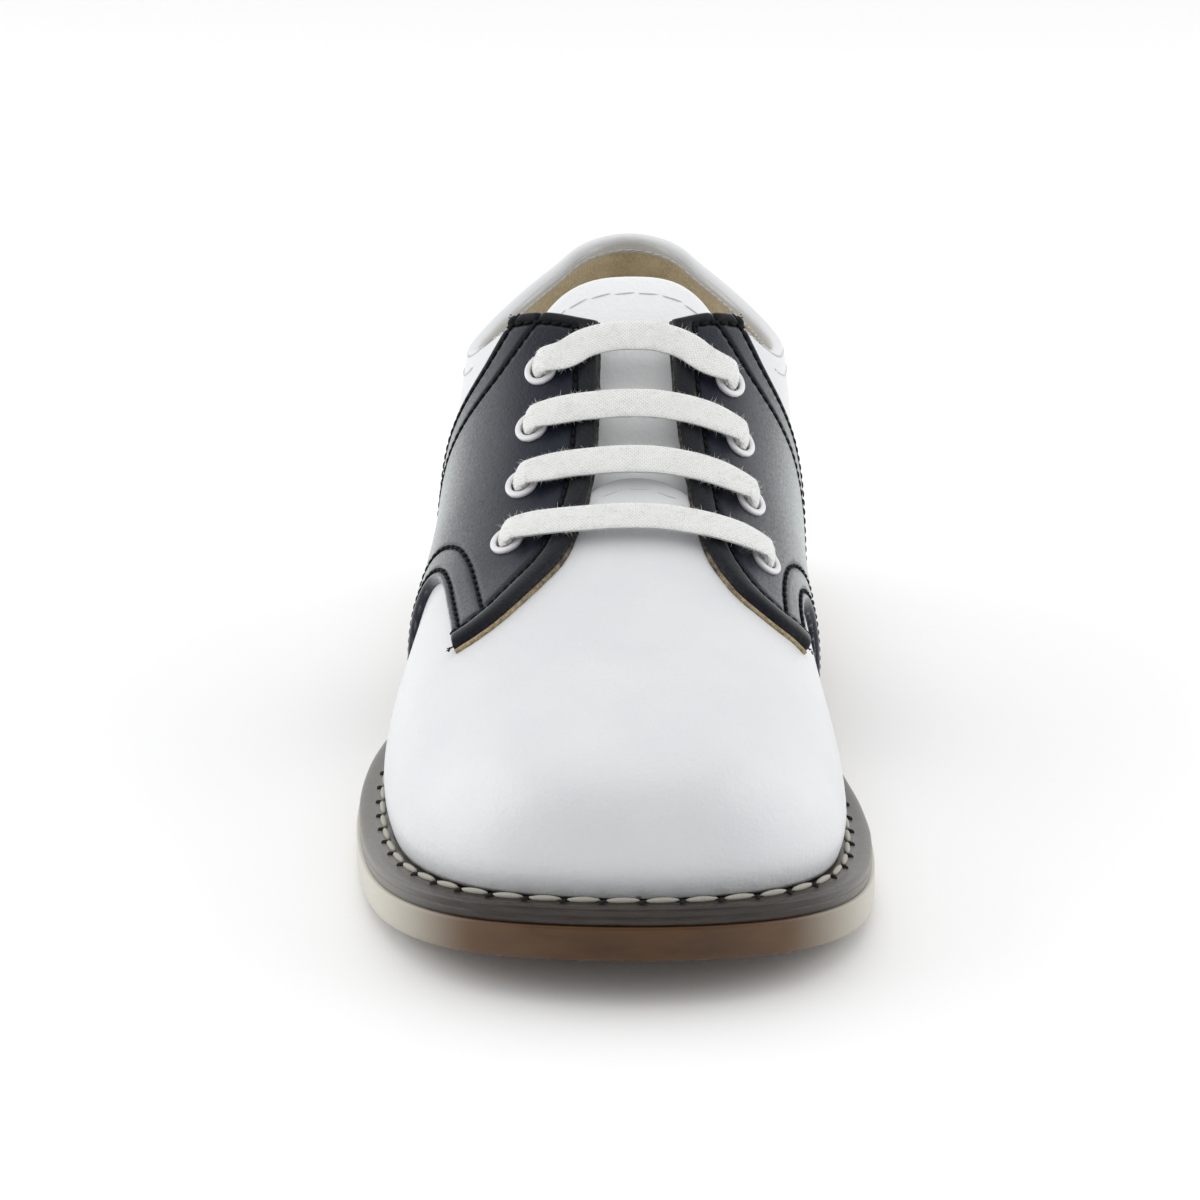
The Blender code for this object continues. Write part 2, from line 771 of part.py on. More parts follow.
def make_insole(collection, material):
    """A plate inside the upper's bottom edge, a little clear of its wall."""
    inset = UPPER_WALL + FEATHER_TUCK + 2 * GAP
    halves = {}
    for side in (LATERAL, MEDIAL):
        ys, xs = [], []
        for i in range(121):
            row = HEEL_ROW * i / 120
            nx, ny = plan_normal(row, side)
            ys.append(LAST["along"](row) * LAST_LENGTH - ny * inset)
            xs.append(ridge_offset(row) + side * half_width(row, side) - nx * inset)
        halves[side] = (ys, xs)
    count = 48
    low, high = halves[LATERAL][0][0], halves[LATERAL][0][-1]
    sections = []
    for k in range(count + 1):
        y = low + (high - low) * (1 - math.cos(math.pi * k / count)) / 2
        left = float(np.interp(y, *halves[LATERAL]))
        right = float(np.interp(y, *halves[MEDIAL]))
        top, bottom = insole_top(y), insole_bottom(y)
        sections.append([(left, y, top), (left, y, bottom), (right, y, bottom), (right, y, top)])
    points = [p for section in sections for p in section]
    return mesh_object("insole", points, loft(sections, closed=True), collection, material, smooth=False)


def make_eyelets(collection, material):
    """Flanged rings, turned, each seated on the saddle with its barrel through saddle and upper."""
    seat = 2 * GAP + SADDLE_THICKNESS
    hole = EYELET_HOLE_RADIUS
    barrel = hole + EYELET_BARREL_WALL
    rim = barrel + EYELET_FLANGE_WIDTH
    top = seat + EYELET_FLANGE_HEIGHT
    profile = (
        (hole, -UPPER_WALL),
        (barrel, -UPPER_WALL),
        (barrel, seat),
        (rim, seat),
        (rim - 0.1 * MM, top - 0.2 * MM),
        (barrel, top),
        (hole, top - 0.3 * MM),
    )
    mesh = bpy.data.meshes.new("eyelet")
    edges = [(k, (k + 1) % len(profile)) for k in range(len(profile))]
    mesh.from_pydata([(r, 0, z) for r, z in profile], edges, [])
    mesh.materials.append(material)
    number = 0
    for side in (LATERAL, MEDIAL):
        for along, across in eyelet_places(side):
            number += 1
            eyelet = bpy.data.objects.new(f"eyelet_{number}", mesh.copy())
            collection.objects.link(eyelet)
            point, normal, _, _ = surface_frame(along, across)
            eyelet.location = placed(point)
            eyelet.rotation_mode = "QUATERNION"
            eyelet.rotation_quaternion = normal.to_track_quat("Z", "Y")
            turn = eyelet.modifiers.new("turn", "SCREW")
            turn.axis = "Z"
            turn.angle = 2 * math.pi
            turn.steps = turn.render_steps = 12
            turn.use_merge_vertices = True
            turn.merge_threshold = 1e-6
            turn.use_normal_flip = True


def lace_rings():
    """The lace's sections in order: centre, width direction, half width and half thickness."""
    flat, thin = LACE_WIDTH / 2, LACE_THICKNESS / 2
    narrow = LACE_RUN_WIDTH / 2
    tight = EYELET_HOLE_RADIUS - 1.5 * GAP
    above = 2 * GAP + SADDLE_THICKNESS + EYELET_FLANGE_HEIGHT
    rings = []

    def hole(along, across, way, heel_way):
        """From the bar's end down through an eyelet to the start of the run under the facing."""
        point, normal, heelward, medial = surface_frame(along, across)
        inwards = medial * (-1 if across > 0 else 1)
        part = []
        for degrees in (90, 60, 30):
            turn = math.radians(degrees)
            grow = math.sin(turn)
            centre = point + inwards * LACE_BEND * (1 - math.cos(turn))
            centre = centre + normal * (above - 0.8 * MM + LACE_BEND * math.sin(turn))
            width = tight + (flat - tight) * grow**2 * 0.8
            part.append((centre, heelward, width, tight + (thin - tight) * grow))
        steps = 4
        for k in range(steps):
            drop = above - 0.8 * MM - (above + UPPER_WALL - 1.0 * MM) * k / (steps - 1)
            turn = math.radians(90 * k / (steps - 1))
            hint = heelward * math.cos(turn) + medial * math.sin(turn)
            part.append((point + normal * drop, hint, tight, tight))
        if heel_way:
            bottom = -UPPER_WALL + 0.2 * MM
            for degrees in (30, 60, 90):
                turn = math.radians(degrees)
                centre = point + heelward * heel_way * LACE_BEND * (1 - math.cos(turn))
                centre = centre + normal * (bottom - LACE_BEND * math.sin(turn))
                grow = math.sin(turn)
                width = tight + (narrow - tight) * grow
                part.append((centre, medial, width, tight + (thin - tight) * grow))
        else:
            part.append((point - normal * (UPPER_WALL + 0.6 * MM), medial, tight, tight))
        rings.extend(part if way > 0 else part[::-1])

    def bar(number, direction):
        """Across the tongue, from facing to facing."""
        count = 8
        along, reach, bow = EYELET_TABLE[number]
        span = reach * BALL_HALF_WIDTH - LACE_BEND - 2.2 * MM
        for k in range(count + 1):
            across = direction * span * (2 * k / count - 1)
            near = abs(across) / span
            point, normal, heelward, _ = surface_frame(along + bow * (1 - near**2), across)
            lift = 2 * GAP + SADDLE_THICKNESS + thin + 0.7 * MM * smooth_step((near - 0.55) / 0.45)
            rings.append((point + normal * lift, heelward, flat, thin))

    def run(start, end):
        """Under a facing, between two places given as along and across."""
        depth = UPPER_WALL - 0.2 * MM + LACE_BEND
        for k in range(1, 4):
            along = start[0] + (end[0] - start[0]) * k / 4
            across = start[1] + (end[1] - start[1]) * k / 4
            point, normal, _, medial = surface_frame(along, across)
            rings.append((point - normal * depth, medial, narrow, thin))

    left = list(eyelet_places(LATERAL))
    right = list(eyelet_places(MEDIAL))
    beside = LACE_RUN_WIDTH + 2.5 * GAP
    top, bottom = left[3], left[0]
    depth = UPPER_WALL - 0.2 * MM + LACE_BEND
    for share in (0.94, 0.76, 0.58, 0.40, 0.24):
        along = bottom[0] + (top[0] - bottom[0]) * share
        across = bottom[1] + (top[1] - bottom[1]) * share - beside * smooth_step(share / 0.36)
        point, normal, _, medial = surface_frame(along, across)
        rings.append((point - normal * depth, medial, narrow, thin))

    hole(*left[0], -1, 1)
    bar(0, 1)
    hole(*right[0], 1, 1)
    run(right[0], right[1])
    hole(*right[1], -1, -1)
    bar(1, -1)
    hole(*left[1], 1, 1)
    run(left[1], left[2])
    hole(*left[2], -1, -1)
    bar(2, 1)
    hole(*right[2], 1, 1)
    run(right[2], right[3])
    hole(*right[3], -1, -1)
    bar(3, -1)
    hole(*left[3], 1, 0)
    return rings


def make_lace(collection, material):
    """One flat lace: four bars over the tongue, joined through the eyelets and under the facings."""
    rings = lace_rings()
    corners = 8
    sections = []
    before = None
    for i, (centre, hint, width, thickness) in enumerate(rings):
        tangent = rings[min(i + 1, len(rings) - 1)][0] - rings[max(i - 1, 0)][0]
        tangent.normalize()
        across = hint - tangent * hint.dot(tangent)
        across.normalize()
        if before is not None and across.dot(before) < 0:
            across = -across
        before = across
        upright = tangent.cross(across)
        section = []
        for k in range(corners):
            turn = 2 * math.pi * (k + 0.5) / corners
            a = math.copysign(abs(math.cos(turn)) ** 0.8, math.cos(turn))
            b = math.copysign(abs(math.sin(turn)) ** 0.8, math.sin(turn))
            section.append(centre + across * width * a + upright * thickness * b)
        sections.append(section)
    points = [p for section in sections for p in section]
    faces = loft(sections, closed=True)
    faces.append(tuple(range(corners)))
    faces.append(tuple(len(points) - 1 - k for k in range(corners)))
    return mesh_object("lace", points, faces, collection, material)


def build():
    clear_scene()
    shoe = new_collection("saddle_shoe")
    cutters = new_collection("cutters")
    white = new_material("white_leather", (0.80, 0.81, 0.82), 0.42)
    navy = new_material("navy_leather", (0.020, 0.024, 0.042), 0.48)
    tongue = new_material("tongue_leather", (0.78, 0.79, 0.80), 0.50)
    lining = new_material("lining_leather", (0.52, 0.40, 0.23), 0.85)
    welt = new_material("dark_welt", (0.045, 0.034, 0.028), 0.55)
    gum = new_material("gum_rubber", (0.24, 0.15, 0.09), 0.30)
    plastic = new_material("white_plastic", (0.85, 0.85, 0.86), 0.35)
    cotton = new_material("white_cotton", (0.84, 0.84, 0.83), 0.90)
    collar = collar_cutter(cutters)
    slot = slot_cutter(cutters)
    holes = {side: eyelet_cutter(side, cutters) for side in (LATERAL, MEDIAL)}
    make_upper(shoe, white, [collar, slot, holes[LATERAL], holes[MEDIAL]])
    for side in (LATERAL, MEDIAL):
        make_saddle(side, shoe, navy, collar, holes[side], cutters)
    make_tongue(shoe, tongue)
    make_insole(shoe, lining)
    make_soles(shoe, welt, gum)
    make_eyelets(shoe, plastic)
    make_lace(shoe, cotton)


build()
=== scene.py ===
"""The looks of a child's right saddle oxford: leathers, threads, lace, welt and rubber sole.

Every visible piece follows the same last as the shoe's solids: cross-sections from toe to heel, each half
of a section a superellipse from the feather edge, where upper meets sole, to the ridge on top. A place on
the last is a row (a place in LAST_TABLE), a side and a climb from the feather edge (0) to the ridge (1).
"""

import math

import bmesh
import bpy
import numpy as np
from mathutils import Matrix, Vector


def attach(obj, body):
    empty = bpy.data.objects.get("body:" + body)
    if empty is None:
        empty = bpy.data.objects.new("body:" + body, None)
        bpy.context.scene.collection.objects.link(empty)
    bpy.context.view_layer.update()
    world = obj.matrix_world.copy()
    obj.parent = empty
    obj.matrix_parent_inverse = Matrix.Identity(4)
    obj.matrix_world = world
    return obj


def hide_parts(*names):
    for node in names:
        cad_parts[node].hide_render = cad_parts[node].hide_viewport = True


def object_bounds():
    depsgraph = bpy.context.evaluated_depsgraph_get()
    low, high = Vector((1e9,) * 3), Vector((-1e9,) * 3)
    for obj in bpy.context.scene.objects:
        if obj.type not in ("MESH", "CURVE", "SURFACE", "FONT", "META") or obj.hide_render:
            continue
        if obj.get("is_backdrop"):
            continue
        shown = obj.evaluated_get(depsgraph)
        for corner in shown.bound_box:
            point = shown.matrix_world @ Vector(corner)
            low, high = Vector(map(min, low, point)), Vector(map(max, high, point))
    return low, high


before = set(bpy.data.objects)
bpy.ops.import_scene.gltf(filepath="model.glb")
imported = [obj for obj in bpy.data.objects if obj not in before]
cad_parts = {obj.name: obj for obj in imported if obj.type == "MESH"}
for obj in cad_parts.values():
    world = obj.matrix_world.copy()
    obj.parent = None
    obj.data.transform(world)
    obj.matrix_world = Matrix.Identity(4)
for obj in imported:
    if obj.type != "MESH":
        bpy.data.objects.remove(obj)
CAD_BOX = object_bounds()

MM = 0.001
LATERAL, MEDIAL = -1, 1
SIDES = {LATERAL: "lateral", MEDIAL: "medial"}

# Sizes of the last and of the pieces on it, as in the part's source.
LAST_LENGTH = 177.0 * MM
BALL_HALF_WIDTH = 35.0 * MM
INSTEP_RISE = 60.0 * MM
HEEL_LIFT = 7.0 * MM
TOE_SPRING = 7.0 * MM
FEATHER_TUCK = 1.2 * MM
FEATHER_TUCK_HEIGHT = 6.0 * MM
HEEL_BULGE = 2.6 * MM
HEEL_LEAN = 3.2 * MM
COLLAR_HEIGHT = 49.0 * MM
MARGIN_TOE = 4.2 * MM
MARGIN_BALL = 4.0 * MM
MARGIN_WAIST = 2.1 * MM
MARGIN_HEEL = 2.8 * MM
MIDSOLE_THICKNESS = 2.8 * MM
OUTSOLE_THICKNESS = 5.0 * MM
HEEL_BREAST_RUN = 1.8 * MM
GAP = 0.3 * MM
UPPER_WALL = 1.7 * MM
SADDLE_THICKNESS = 1.3 * MM
THROAT_OVERHANG = 0.6 * MM
TONGUE_THICKNESS = 1.5 * MM
TONGUE_CLEARANCE = 1.5 * MM
EYELET_HOLE_RADIUS = 1.75 * MM
EYELET_BARREL_WALL = 0.35 * MM
EYELET_FLANGE_WIDTH = 0.65 * MM
EYELET_FLANGE_HEIGHT = 0.6 * MM
LACE_WIDTH = 5.4 * MM
LACE_THICKNESS = 1.1 * MM
LACE_RUN_WIDTH = 2.9 * MM
LACE_BEND = 1.8 * MM

LAST_COLUMNS = ("along", "lateral", "medial", "ridge", "rise", "square")
LAST_TABLE = (
    (0.000, 0.000, 0.000, 0.040, 0.000, 2.15),
    (0.006, 0.305, 0.262, 0.040, 0.165, 2.20),
    (0.026, 0.592, 0.520, 0.038, 0.280, 2.25),
    (0.065, 0.805, 0.728, 0.035, 0.360, 2.30),
    (0.120, 0.955, 0.848, 0.030, 0.418, 2.30),
    (0.190, 1.045, 0.890, 0.028, 0.460, 2.25),
    (0.270, 1.090, 0.890, 0.028, 0.510, 2.22),
    (0.350, 1.088, 0.862, 0.028, 0.575, 2.22),
    (0.425, 1.040, 0.826, 0.028, 0.680, 2.26),
    (0.500, 0.972, 0.793, 0.026, 0.810, 2.32),
    (0.570, 0.912, 0.772, 0.024, 0.945, 2.45),
    (0.640, 0.878, 0.778, 0.018, 1.055, 2.75),
    (0.720, 0.846, 0.788, 0.010, 1.130, 3.05),
    (0.800, 0.805, 0.780, 0.004, 1.165, 2.95),
    (0.880, 0.716, 0.708, 0.000, 1.180, 2.35),
    (0.945, 0.540, 0.536, 0.000, 1.180, 2.00),
    (0.985, 0.295, 0.294, 0.000, 1.180, 1.95),
    (1.000, 0.000, 0.000, 0.000, 1.180, 1.95),
)
HEEL_ROW = len(LAST_TABLE) - 1
HEEL_CURVE_START = 0.72
BOTTOM_TABLE = (
    (0.00, 0.00), (0.42, 0.00), (0.50, 0.16), (0.60, 0.62), (0.68, 0.92), (0.76, 1.00), (1.00, 1.00),
)
TOE_SPRING_START = 0.28
BREAST = 0.715
MARGIN_TABLE = (
    (0.00, MARGIN_TOE, MARGIN_TOE),
    (0.20, MARGIN_BALL, MARGIN_BALL),
    (0.26, MARGIN_BALL, 0.85 * MARGIN_BALL),
    (0.35, 0.90 * MARGIN_BALL, 0.50 * MARGIN_BALL),
    (0.45, 0.65 * MARGIN_BALL, 0.9 * MARGIN_WAIST),
    (0.60, MARGIN_WAIST, MARGIN_WAIST),
    (0.78, 1.1 * MARGIN_WAIST, 1.1 * MARGIN_WAIST),
    (1.00, MARGIN_HEEL, MARGIN_HEEL),
)
COLLAR_TABLE = (
    (0.500, 0.720, 0.000), (0.535, 0.800, 0.000), (0.551, 0.838, 0.000), (0.563, 0.867, 0.000),
    (0.575, 0.880, 0.000), (0.588, 0.882, 0.000), (0.602, 0.700, 0.204), (0.613, 0.550, 0.351),
    (0.627, 0.400, 0.473), (0.650, 0.200, 0.661), (0.680, 0.080, 0.769), (0.712, 0.000, 0.849),
    (0.768, 0.000, 0.814), (0.825, 0.000, 0.804), (0.881, 0.000, 0.831), (0.938, 0.000, 0.906),
    (0.960, 0.000, 0.968), (0.976, 0.000, 0.997), (0.994, 0.000, 1.009), (1.060, 0.000, 1.020),
)
THROAT_TABLES = {
    LATERAL: (
        (0.640, 0.160), (0.540, 0.160), (0.490, 0.164), (0.433, 0.190), (0.384, 0.248), (0.350, 0.312),
        (0.322, 0.412), (0.290, 0.562), (0.278, 0.666), (0.276, 0.761), (0.276, 0.860),
    ),
    MEDIAL: (
        (0.640, 0.165), (0.540, 0.168), (0.480, 0.198), (0.433, 0.232), (0.391, 0.270), (0.352, 0.335),
        (0.320, 0.450), (0.310, 0.586), (0.318, 0.680), (0.330, 0.760), (0.344, 0.840),
    ),
}
ARCH_TABLES = {
    LATERAL: (
        (0.240, 0.770), (0.278, 0.764), (0.311, 0.752), (0.350, 0.728), (0.382, 0.700), (0.412, 0.650),
        (0.433, 0.565), (0.447, 0.440), (0.459, 0.290), (0.470, 0.110), (0.478, 0.000),
    ),
    MEDIAL: (
        (0.270, 0.610), (0.310, 0.610), (0.345, 0.612), (0.380, 0.605), (0.410, 0.570), (0.433, 0.490),
        (0.449, 0.380), (0.461, 0.250), (0.472, 0.100), (0.480, 0.000),
    ),
}
REAR_TABLE = (
    (0.652, 0.000), (0.645, 0.100), (0.636, 0.300), (0.620, 0.500), (0.602, 0.660), (0.595, 0.760),
    (0.598, 0.830), (0.612, 0.920), (0.625, 1.000),
)
VAMP_EDGE_ALONG = 0.416
VAMP_EDGE_ARC = 2.8 * MM
EYELET_TABLE = (
    (0.384, 0.540, -0.003),
    (0.442, 0.482, 0.000),
    (0.494, 0.442, 0.000),
    (0.541, 0.404, 0.010),
)
TONGUE_TABLE = (
    (0.380, 0.260), (0.430, 0.300), (0.500, 0.318), (0.545, 0.326), (0.585, 0.520), (0.640, 0.560),
)
TONGUE_START, TONGUE_TOP = 0.385, 0.626
TONGUE_TOP_ROUND = 5.5 * MM
TONGUE_TOP_SQUARE = 2.1

# What the finish adds: folded borders, seams and threads.
EDGE_ROUND = 0.75 * MM
THROAT_SEAM = 3.4 * MM
TOP_SEAM = 2.1 * MM
OPEN_SEAMS = (1.5 * MM, 5.6 * MM)
SEAM_GROOVE = 0.5 * MM
SEAM_HALF_WIDTH = 0.45 * MM
BORDER_PUFF = 0.4 * MM
RAW_EDGE_SHOW = 0.5 * MM
RAW_EDGE_HEIGHT = 0.55 * MM
BAND_DEPTH = 3.2 * MM
BAND_THICKNESS = 0.5 * MM
STITCH_PITCH = 1.75 * MM
STITCH_LENGTH = 1.7 * MM
STITCH_WIDTH = 0.62 * MM
SADDLE_MESH = (0.14 * MM, 0.42 * MM)
SADDLE_SPAN = (50 * MM, 56 * MM)
STITCH_SLANT = 0.14
WELT_STITCH_COUNT = 78
WELT_STITCH_LENGTH = 4.9 * MM
WELT_STITCH_WIDTH = 0.95 * MM
FUZZ_DENSITY = 4.5e6
FUZZ_LENGTH = 1.25 * MM
FUZZ_THICKNESS = 0.035 * MM
WELT_HOLE = (1.5 * MM, 0.9 * MM)
LOOSE_END = 0.8 * MM
LINING_DEPTH = 0.25 * MM
LINING_START, LINING_FRONT_TOP = 0.30, 0.93
COLLAR_STITCH_START = 0.640
COLLAR_STITCH_INSET = 4.3 * MM
TONGUE_STITCH_INSET = 3.4 * MM
VAMP_STITCH_INSET = 1.7 * MM
INSOLE_RINGS = ((0.0, 0.1), (0.15, 1.6), (-0.2, 2.3), (-1.4, 2.2), (-4.0, 2.15))
TONGUE_RIM_ROUND = 0.7 * MM
TONGUE_WAVE = 0.12 * MM
TONGUE_WAVE_PITCH = 3.1 * MM
EYELET_RISE = 0.75 * MM
EYELET_BEAD = 0.3 * MM
LACE_DIP = 0.8 * MM
LACE_BAR_LIFT = 0.7 * MM
LACE_CLEARANCE = 0.2 * MM

CAMERA_DISTANCE = 0.548
CAMERA_ELEVATION = 20.0
SENSOR_WIDTH = 36.0
PICTURE_PIXELS = 1200
FOCAL_PIXELS = 3460
SHIFT_PIXELS = (-29, -22)
DARK_WALL, WHITE_WALL = 0.47, 0.90


def mirrored_spline(values, odd_start, odd_end):
    """A smooth function through values at 0, 1, 2 and so on, mirrored past both ends."""
    values = np.asarray(values, float)
    head = values[3:0:-1]
    tail = values[-2:-5:-1]
    head = 2 * values[0] - head if odd_start else head
    tail = 2 * values[-1] - tail if odd_end else tail
    knots = np.concatenate([head, values, tail])
    count = len(knots)
    matrix = np.zeros((count, count))
    bend = np.zeros(count)
    matrix[0, 0] = matrix[-1, -1] = 1.0
    for i in range(1, count - 1):
        matrix[i, i - 1 : i + 2] = (1.0, 4.0, 1.0)
        bend[i] = 6.0 * (knots[i - 1] - 2 * knots[i] + knots[i + 1])
    second = np.linalg.solve(matrix, bend)

    def value(row):
        place = np.asarray(row, float) + 3
        i = np.clip(np.floor(place).astype(int), 0, count - 2)
        b = place - i
        a = 1.0 - b
        curved = (a**3 - a) * second[i] + (b**3 - b) * second[i + 1]
        return a * knots[i] + b * knots[i + 1] + curved / 6.0

    return value


def monotone_curve(table, column=1):
    """A function of the table's first column, with no overshoot between its rows."""
    xs = np.array([row[0] for row in table])
    ys = np.array([row[column] for row in table])
    steps = np.diff(xs)
    slopes = np.diff(ys) / steps
    ends = [slopes[0]]
    for left, right in zip(slopes[:-1], slopes[1:]):
        ends.append(0.0 if left * right <= 0 else 2 * left * right / (left + right))
    ends = np.array(ends + [slopes[-1]])

    def value(x):
        x = np.clip(x, xs[0], xs[-1])
        i = np.clip(np.searchsorted(xs, x) - 1, 0, len(steps) - 1)
        t = (x - xs[i]) / steps[i]
        start = (2 * t**3 - 3 * t**2 + 1) * ys[i] + (t**3 - 2 * t**2 + t) * steps[i] * ends[i]
        end = (3 * t**2 - 2 * t**3) * ys[i + 1] + (t**3 - t**2) * steps[i] * ends[i + 1]
        return start + end

    return value


def smooth_step(x):
    x = np.clip(x, 0.0, 1.0)
    return x * x * (3.0 - 2.0 * x)


def rounded_path(points, steps=12):
    """The points joined by a smooth curve through all of them."""
    points = np.asarray(points, float)
    padded = np.vstack([2 * points[0] - points[1], points, 2 * points[-1] - points[-2]])
    path = []
    for before, start, end, after in zip(padded, padded[1:], padded[2:], padded[3:]):
        for k in range(steps):
            t = k / steps
            turn = 2 * before - 5 * start + 4 * end - after
            bend = 3 * start - before - 3 * end + after
            path.append(0.5 * (2 * start + (end - before) * t + turn * t**2 + bend * t**3))
    path.append(points[-1])
    return np.array(path)


def unit(vectors):
    return vectors / np.maximum(np.linalg.norm(vectors, axis=-1, keepdims=True), 1e-12)


def running_length(points):
    """The distance along a line of points, from 0 at its start."""
    return np.concatenate([[0], np.cumsum(np.linalg.norm(np.diff(points, axis=0), axis=1))])


def resampled(line, length, at):
    """A line's values at other distances along it."""
    return np.stack([np.interp(at, length, column) for column in line.T], 1)


def last_curve(name):
    mirrored = name in ("lateral", "medial")
    values = [row[LAST_COLUMNS.index(name)] for row in LAST_TABLE]
    return mirrored_spline(values, mirrored or name == "rise", mirrored)


LAST = {name: last_curve(name) for name in LAST_COLUMNS}
BOTTOM = monotone_curve(BOTTOM_TABLE)
MARGIN = {LATERAL: monotone_curve(MARGIN_TABLE, 1), MEDIAL: monotone_curve(MARGIN_TABLE, 2)}
TONGUE_HALF_WIDTH = monotone_curve(TONGUE_TABLE)
FINE_ROWS = np.linspace(0, HEEL_ROW, 1701)
FINE_ALONG = LAST["along"](FINE_ROWS)


def row_at(along):
    """The row where the last has a given share of its length."""
    return np.interp(along, FINE_ALONG, FINE_ROWS)


def half_width(row, side):
    return np.where(np.asarray(side) < 0, LAST["lateral"](row), LAST["medial"](row)) * BALL_HALF_WIDTH


def ridge_offset(row):
    return LAST["ridge"](row) * BALL_HALF_WIDTH


def feather_height(along):
    """Height of the last's bottom edge above the floor."""
    sole = OUTSOLE_THICKNESS + MIDSOLE_THICKNESS + 2 * GAP
    spring = np.maximum(0.0, TOE_SPRING_START - along) / (TOE_SPRING_START + MARGIN_TOE / LAST_LENGTH)
    return sole + HEEL_LIFT * BOTTOM(along) + TOE_SPRING * spring**2


def plan_normal(row, side):
    """The last's outline turned outwards, seen from above."""
    low, high = np.maximum(row - 0.01, 0.0), np.minimum(row + 0.01, HEEL_ROW)
    dx = half_width(high, side) - half_width(low, side)
    dy = (LAST["along"](high) - LAST["along"](low)) * LAST_LENGTH
    length = np.hypot(dx, dy)
    return side * dy / length, -dx / length


def last_point(row, side, climb):
    """Points of the last as x, distance from its toe, and height above the floor."""
    row, side, climb = np.broadcast_arrays(np.asarray(row, float), side, climb)
    angle = climb * math.pi / 2
    power = 2 / LAST["square"](row)
    height = LAST["rise"](row) * INSTEP_RISE * np.maximum(np.sin(angle), 0.0) ** power
    nx, ny = plan_normal(row, side)
    tuck = FEATHER_TUCK * np.maximum(0.0, 1 - height / FEATHER_TUCK_HEIGHT) ** 2
    along = LAST["along"](row)
    x = ridge_offset(row) + side * half_width(row, side) * np.maximum(np.cos(angle), 0.0) ** power
    y = along * LAST_LENGTH - ny * tuck
    up = height / COLLAR_HEIGHT
    back = smooth_step((along - HEEL_CURVE_START) / (1 - HEEL_CURVE_START))
    y = y + back * (HEEL_BULGE * 4 * up * (1 - up) - HEEL_LEAN * up * up)
    return np.stack([x - nx * tuck, y, feather_height(y / LAST_LENGTH) + height], -1)


def last_normal(row, side, climb):
    """The last's outward direction at the same places."""
    row, side, climb = np.broadcast_arrays(np.asarray(row, float), side, climb)
    middle_row = np.clip(row, 0.04, HEEL_ROW - 0.04)
    middle = np.clip(climb, 0.012, 1.0)
    along_it = last_point(middle_row + 0.03, side, middle) - last_point(middle_row - 0.03, side, middle)
    flat = np.minimum(middle, 0.985)
    across = last_point(middle_row, side, flat + 0.01) - last_point(middle_row, side, flat - 0.01)
    across = unit(across)
    ridge = np.stack([-side, 0 * side, 0 * side], -1).astype(float)
    share = np.clip((middle - 0.955) / 0.03, 0, 1)[..., None]
    across = across * (1 - share) + ridge * share
    normal = np.cross(along_it, across) * side[..., None]
    normal[..., 0] = np.where(row >= HEEL_ROW, 0.0, normal[..., 0])
    return unit(normal)


def surface(row, side, climb):
    """The last's points and their outward directions."""
    return last_point(row, side, climb), last_normal(row, side, climb)


def shell_point(row, side, climb, out):
    """Points at a distance outside the last, or inside it where out is negative."""
    point, normal = surface(row, side, climb)
    return point + normal * np.asarray(out)[..., None]


def climb_across(row, side, across):
    """The climb at a distance from the ridge, seen from above."""
    share = np.minimum(np.abs(across) / half_width(row, side), 1.0)
    return np.arccos(share ** (LAST["square"](row) / 2)) / (math.pi / 2)


def climb_high(row, height):
    """The climb at a height, a share of the section's rise."""
    return np.arcsin(np.clip(height, 0, 1) ** (LAST["square"](row) / 2)) / (math.pi / 2)


def surface_frame(along, across):
    """One place's point, outward direction, heelward direction and medial direction."""
    row = row_at(along)
    side = LATERAL if across < 0 else MEDIAL
    point, normal = surface(row, side, climb_across(row, side, across))
    heelward = unit(np.array([0.0, 1.0, 0.0]) - normal * normal[1])
    return point, normal, heelward, np.cross(heelward, normal)


def points_of(line, side):
    """The points of a line of places, which has columns of along and climb."""
    return last_point(row_at(line[:, 0]), side, line[:, 1])


def outline(row, side, away):
    """The last's outline seen from above, moved outwards: y and x."""
    nx, ny = plan_normal(row, side)
    y = LAST["along"](row) * LAST_LENGTH + ny * away
    return y, ridge_offset(row) + side * half_width(row, side) + nx * away


def sole_half(side, outset):
    """One half of the sole's outline, moved outwards by outset: y and x from toe to heel."""
    row = np.linspace(0, HEEL_ROW, 681)
    return outline(row, side, MARGIN[side](LAST["along"](row)) + outset)


def outline_middle():
    lateral, medial = sole_half(LATERAL, 0), sole_half(MEDIAL, 0)
    return (lateral[1].min() + medial[1].max()) / 2, (lateral[0][0] + lateral[0][-1]) / 2


MIDDLE_X, MIDDLE_Y = outline_middle()
TO_FRAME = np.array([-MIDDLE_X, -MIDDLE_Y, 0.0])
CAMERA_AIM = (-MIDDLE_X, -0.004, 0.031)


# Shaders.


def new_node(tree, kind, settings=None, inputs=None):
    """A node with its settings and the values or links of its inputs."""
    node = tree.nodes.new(kind)
    for name, value in (settings or {}).items():
        setattr(node, name, value)
    for name, value in (inputs or {}).items():
        value = getattr(value, "socket", value)
        if isinstance(value, bpy.types.NodeSocket):
            tree.links.new(value, node.inputs[name])
        else:
            node.inputs[name].default_value = value
    return node


class Wire:
    """A shader socket that can be used in arithmetic, which adds Math nodes."""

    def __init__(self, finish, socket):
        self.finish = finish
        self.socket = socket

    def __add__(self, other):
        return self.finish.math("ADD", self, other)

    def __radd__(self, other):
        return self.finish.math("ADD", other, self)

    def __sub__(self, other):
        return self.finish.math("SUBTRACT", self, other)

    def __rsub__(self, other):
        return self.finish.math("SUBTRACT", other, self)

    def __mul__(self, other):
        return self.finish.math("MULTIPLY", self, other)

    def __rmul__(self, other):
        return self.finish.math("MULTIPLY", other, self)


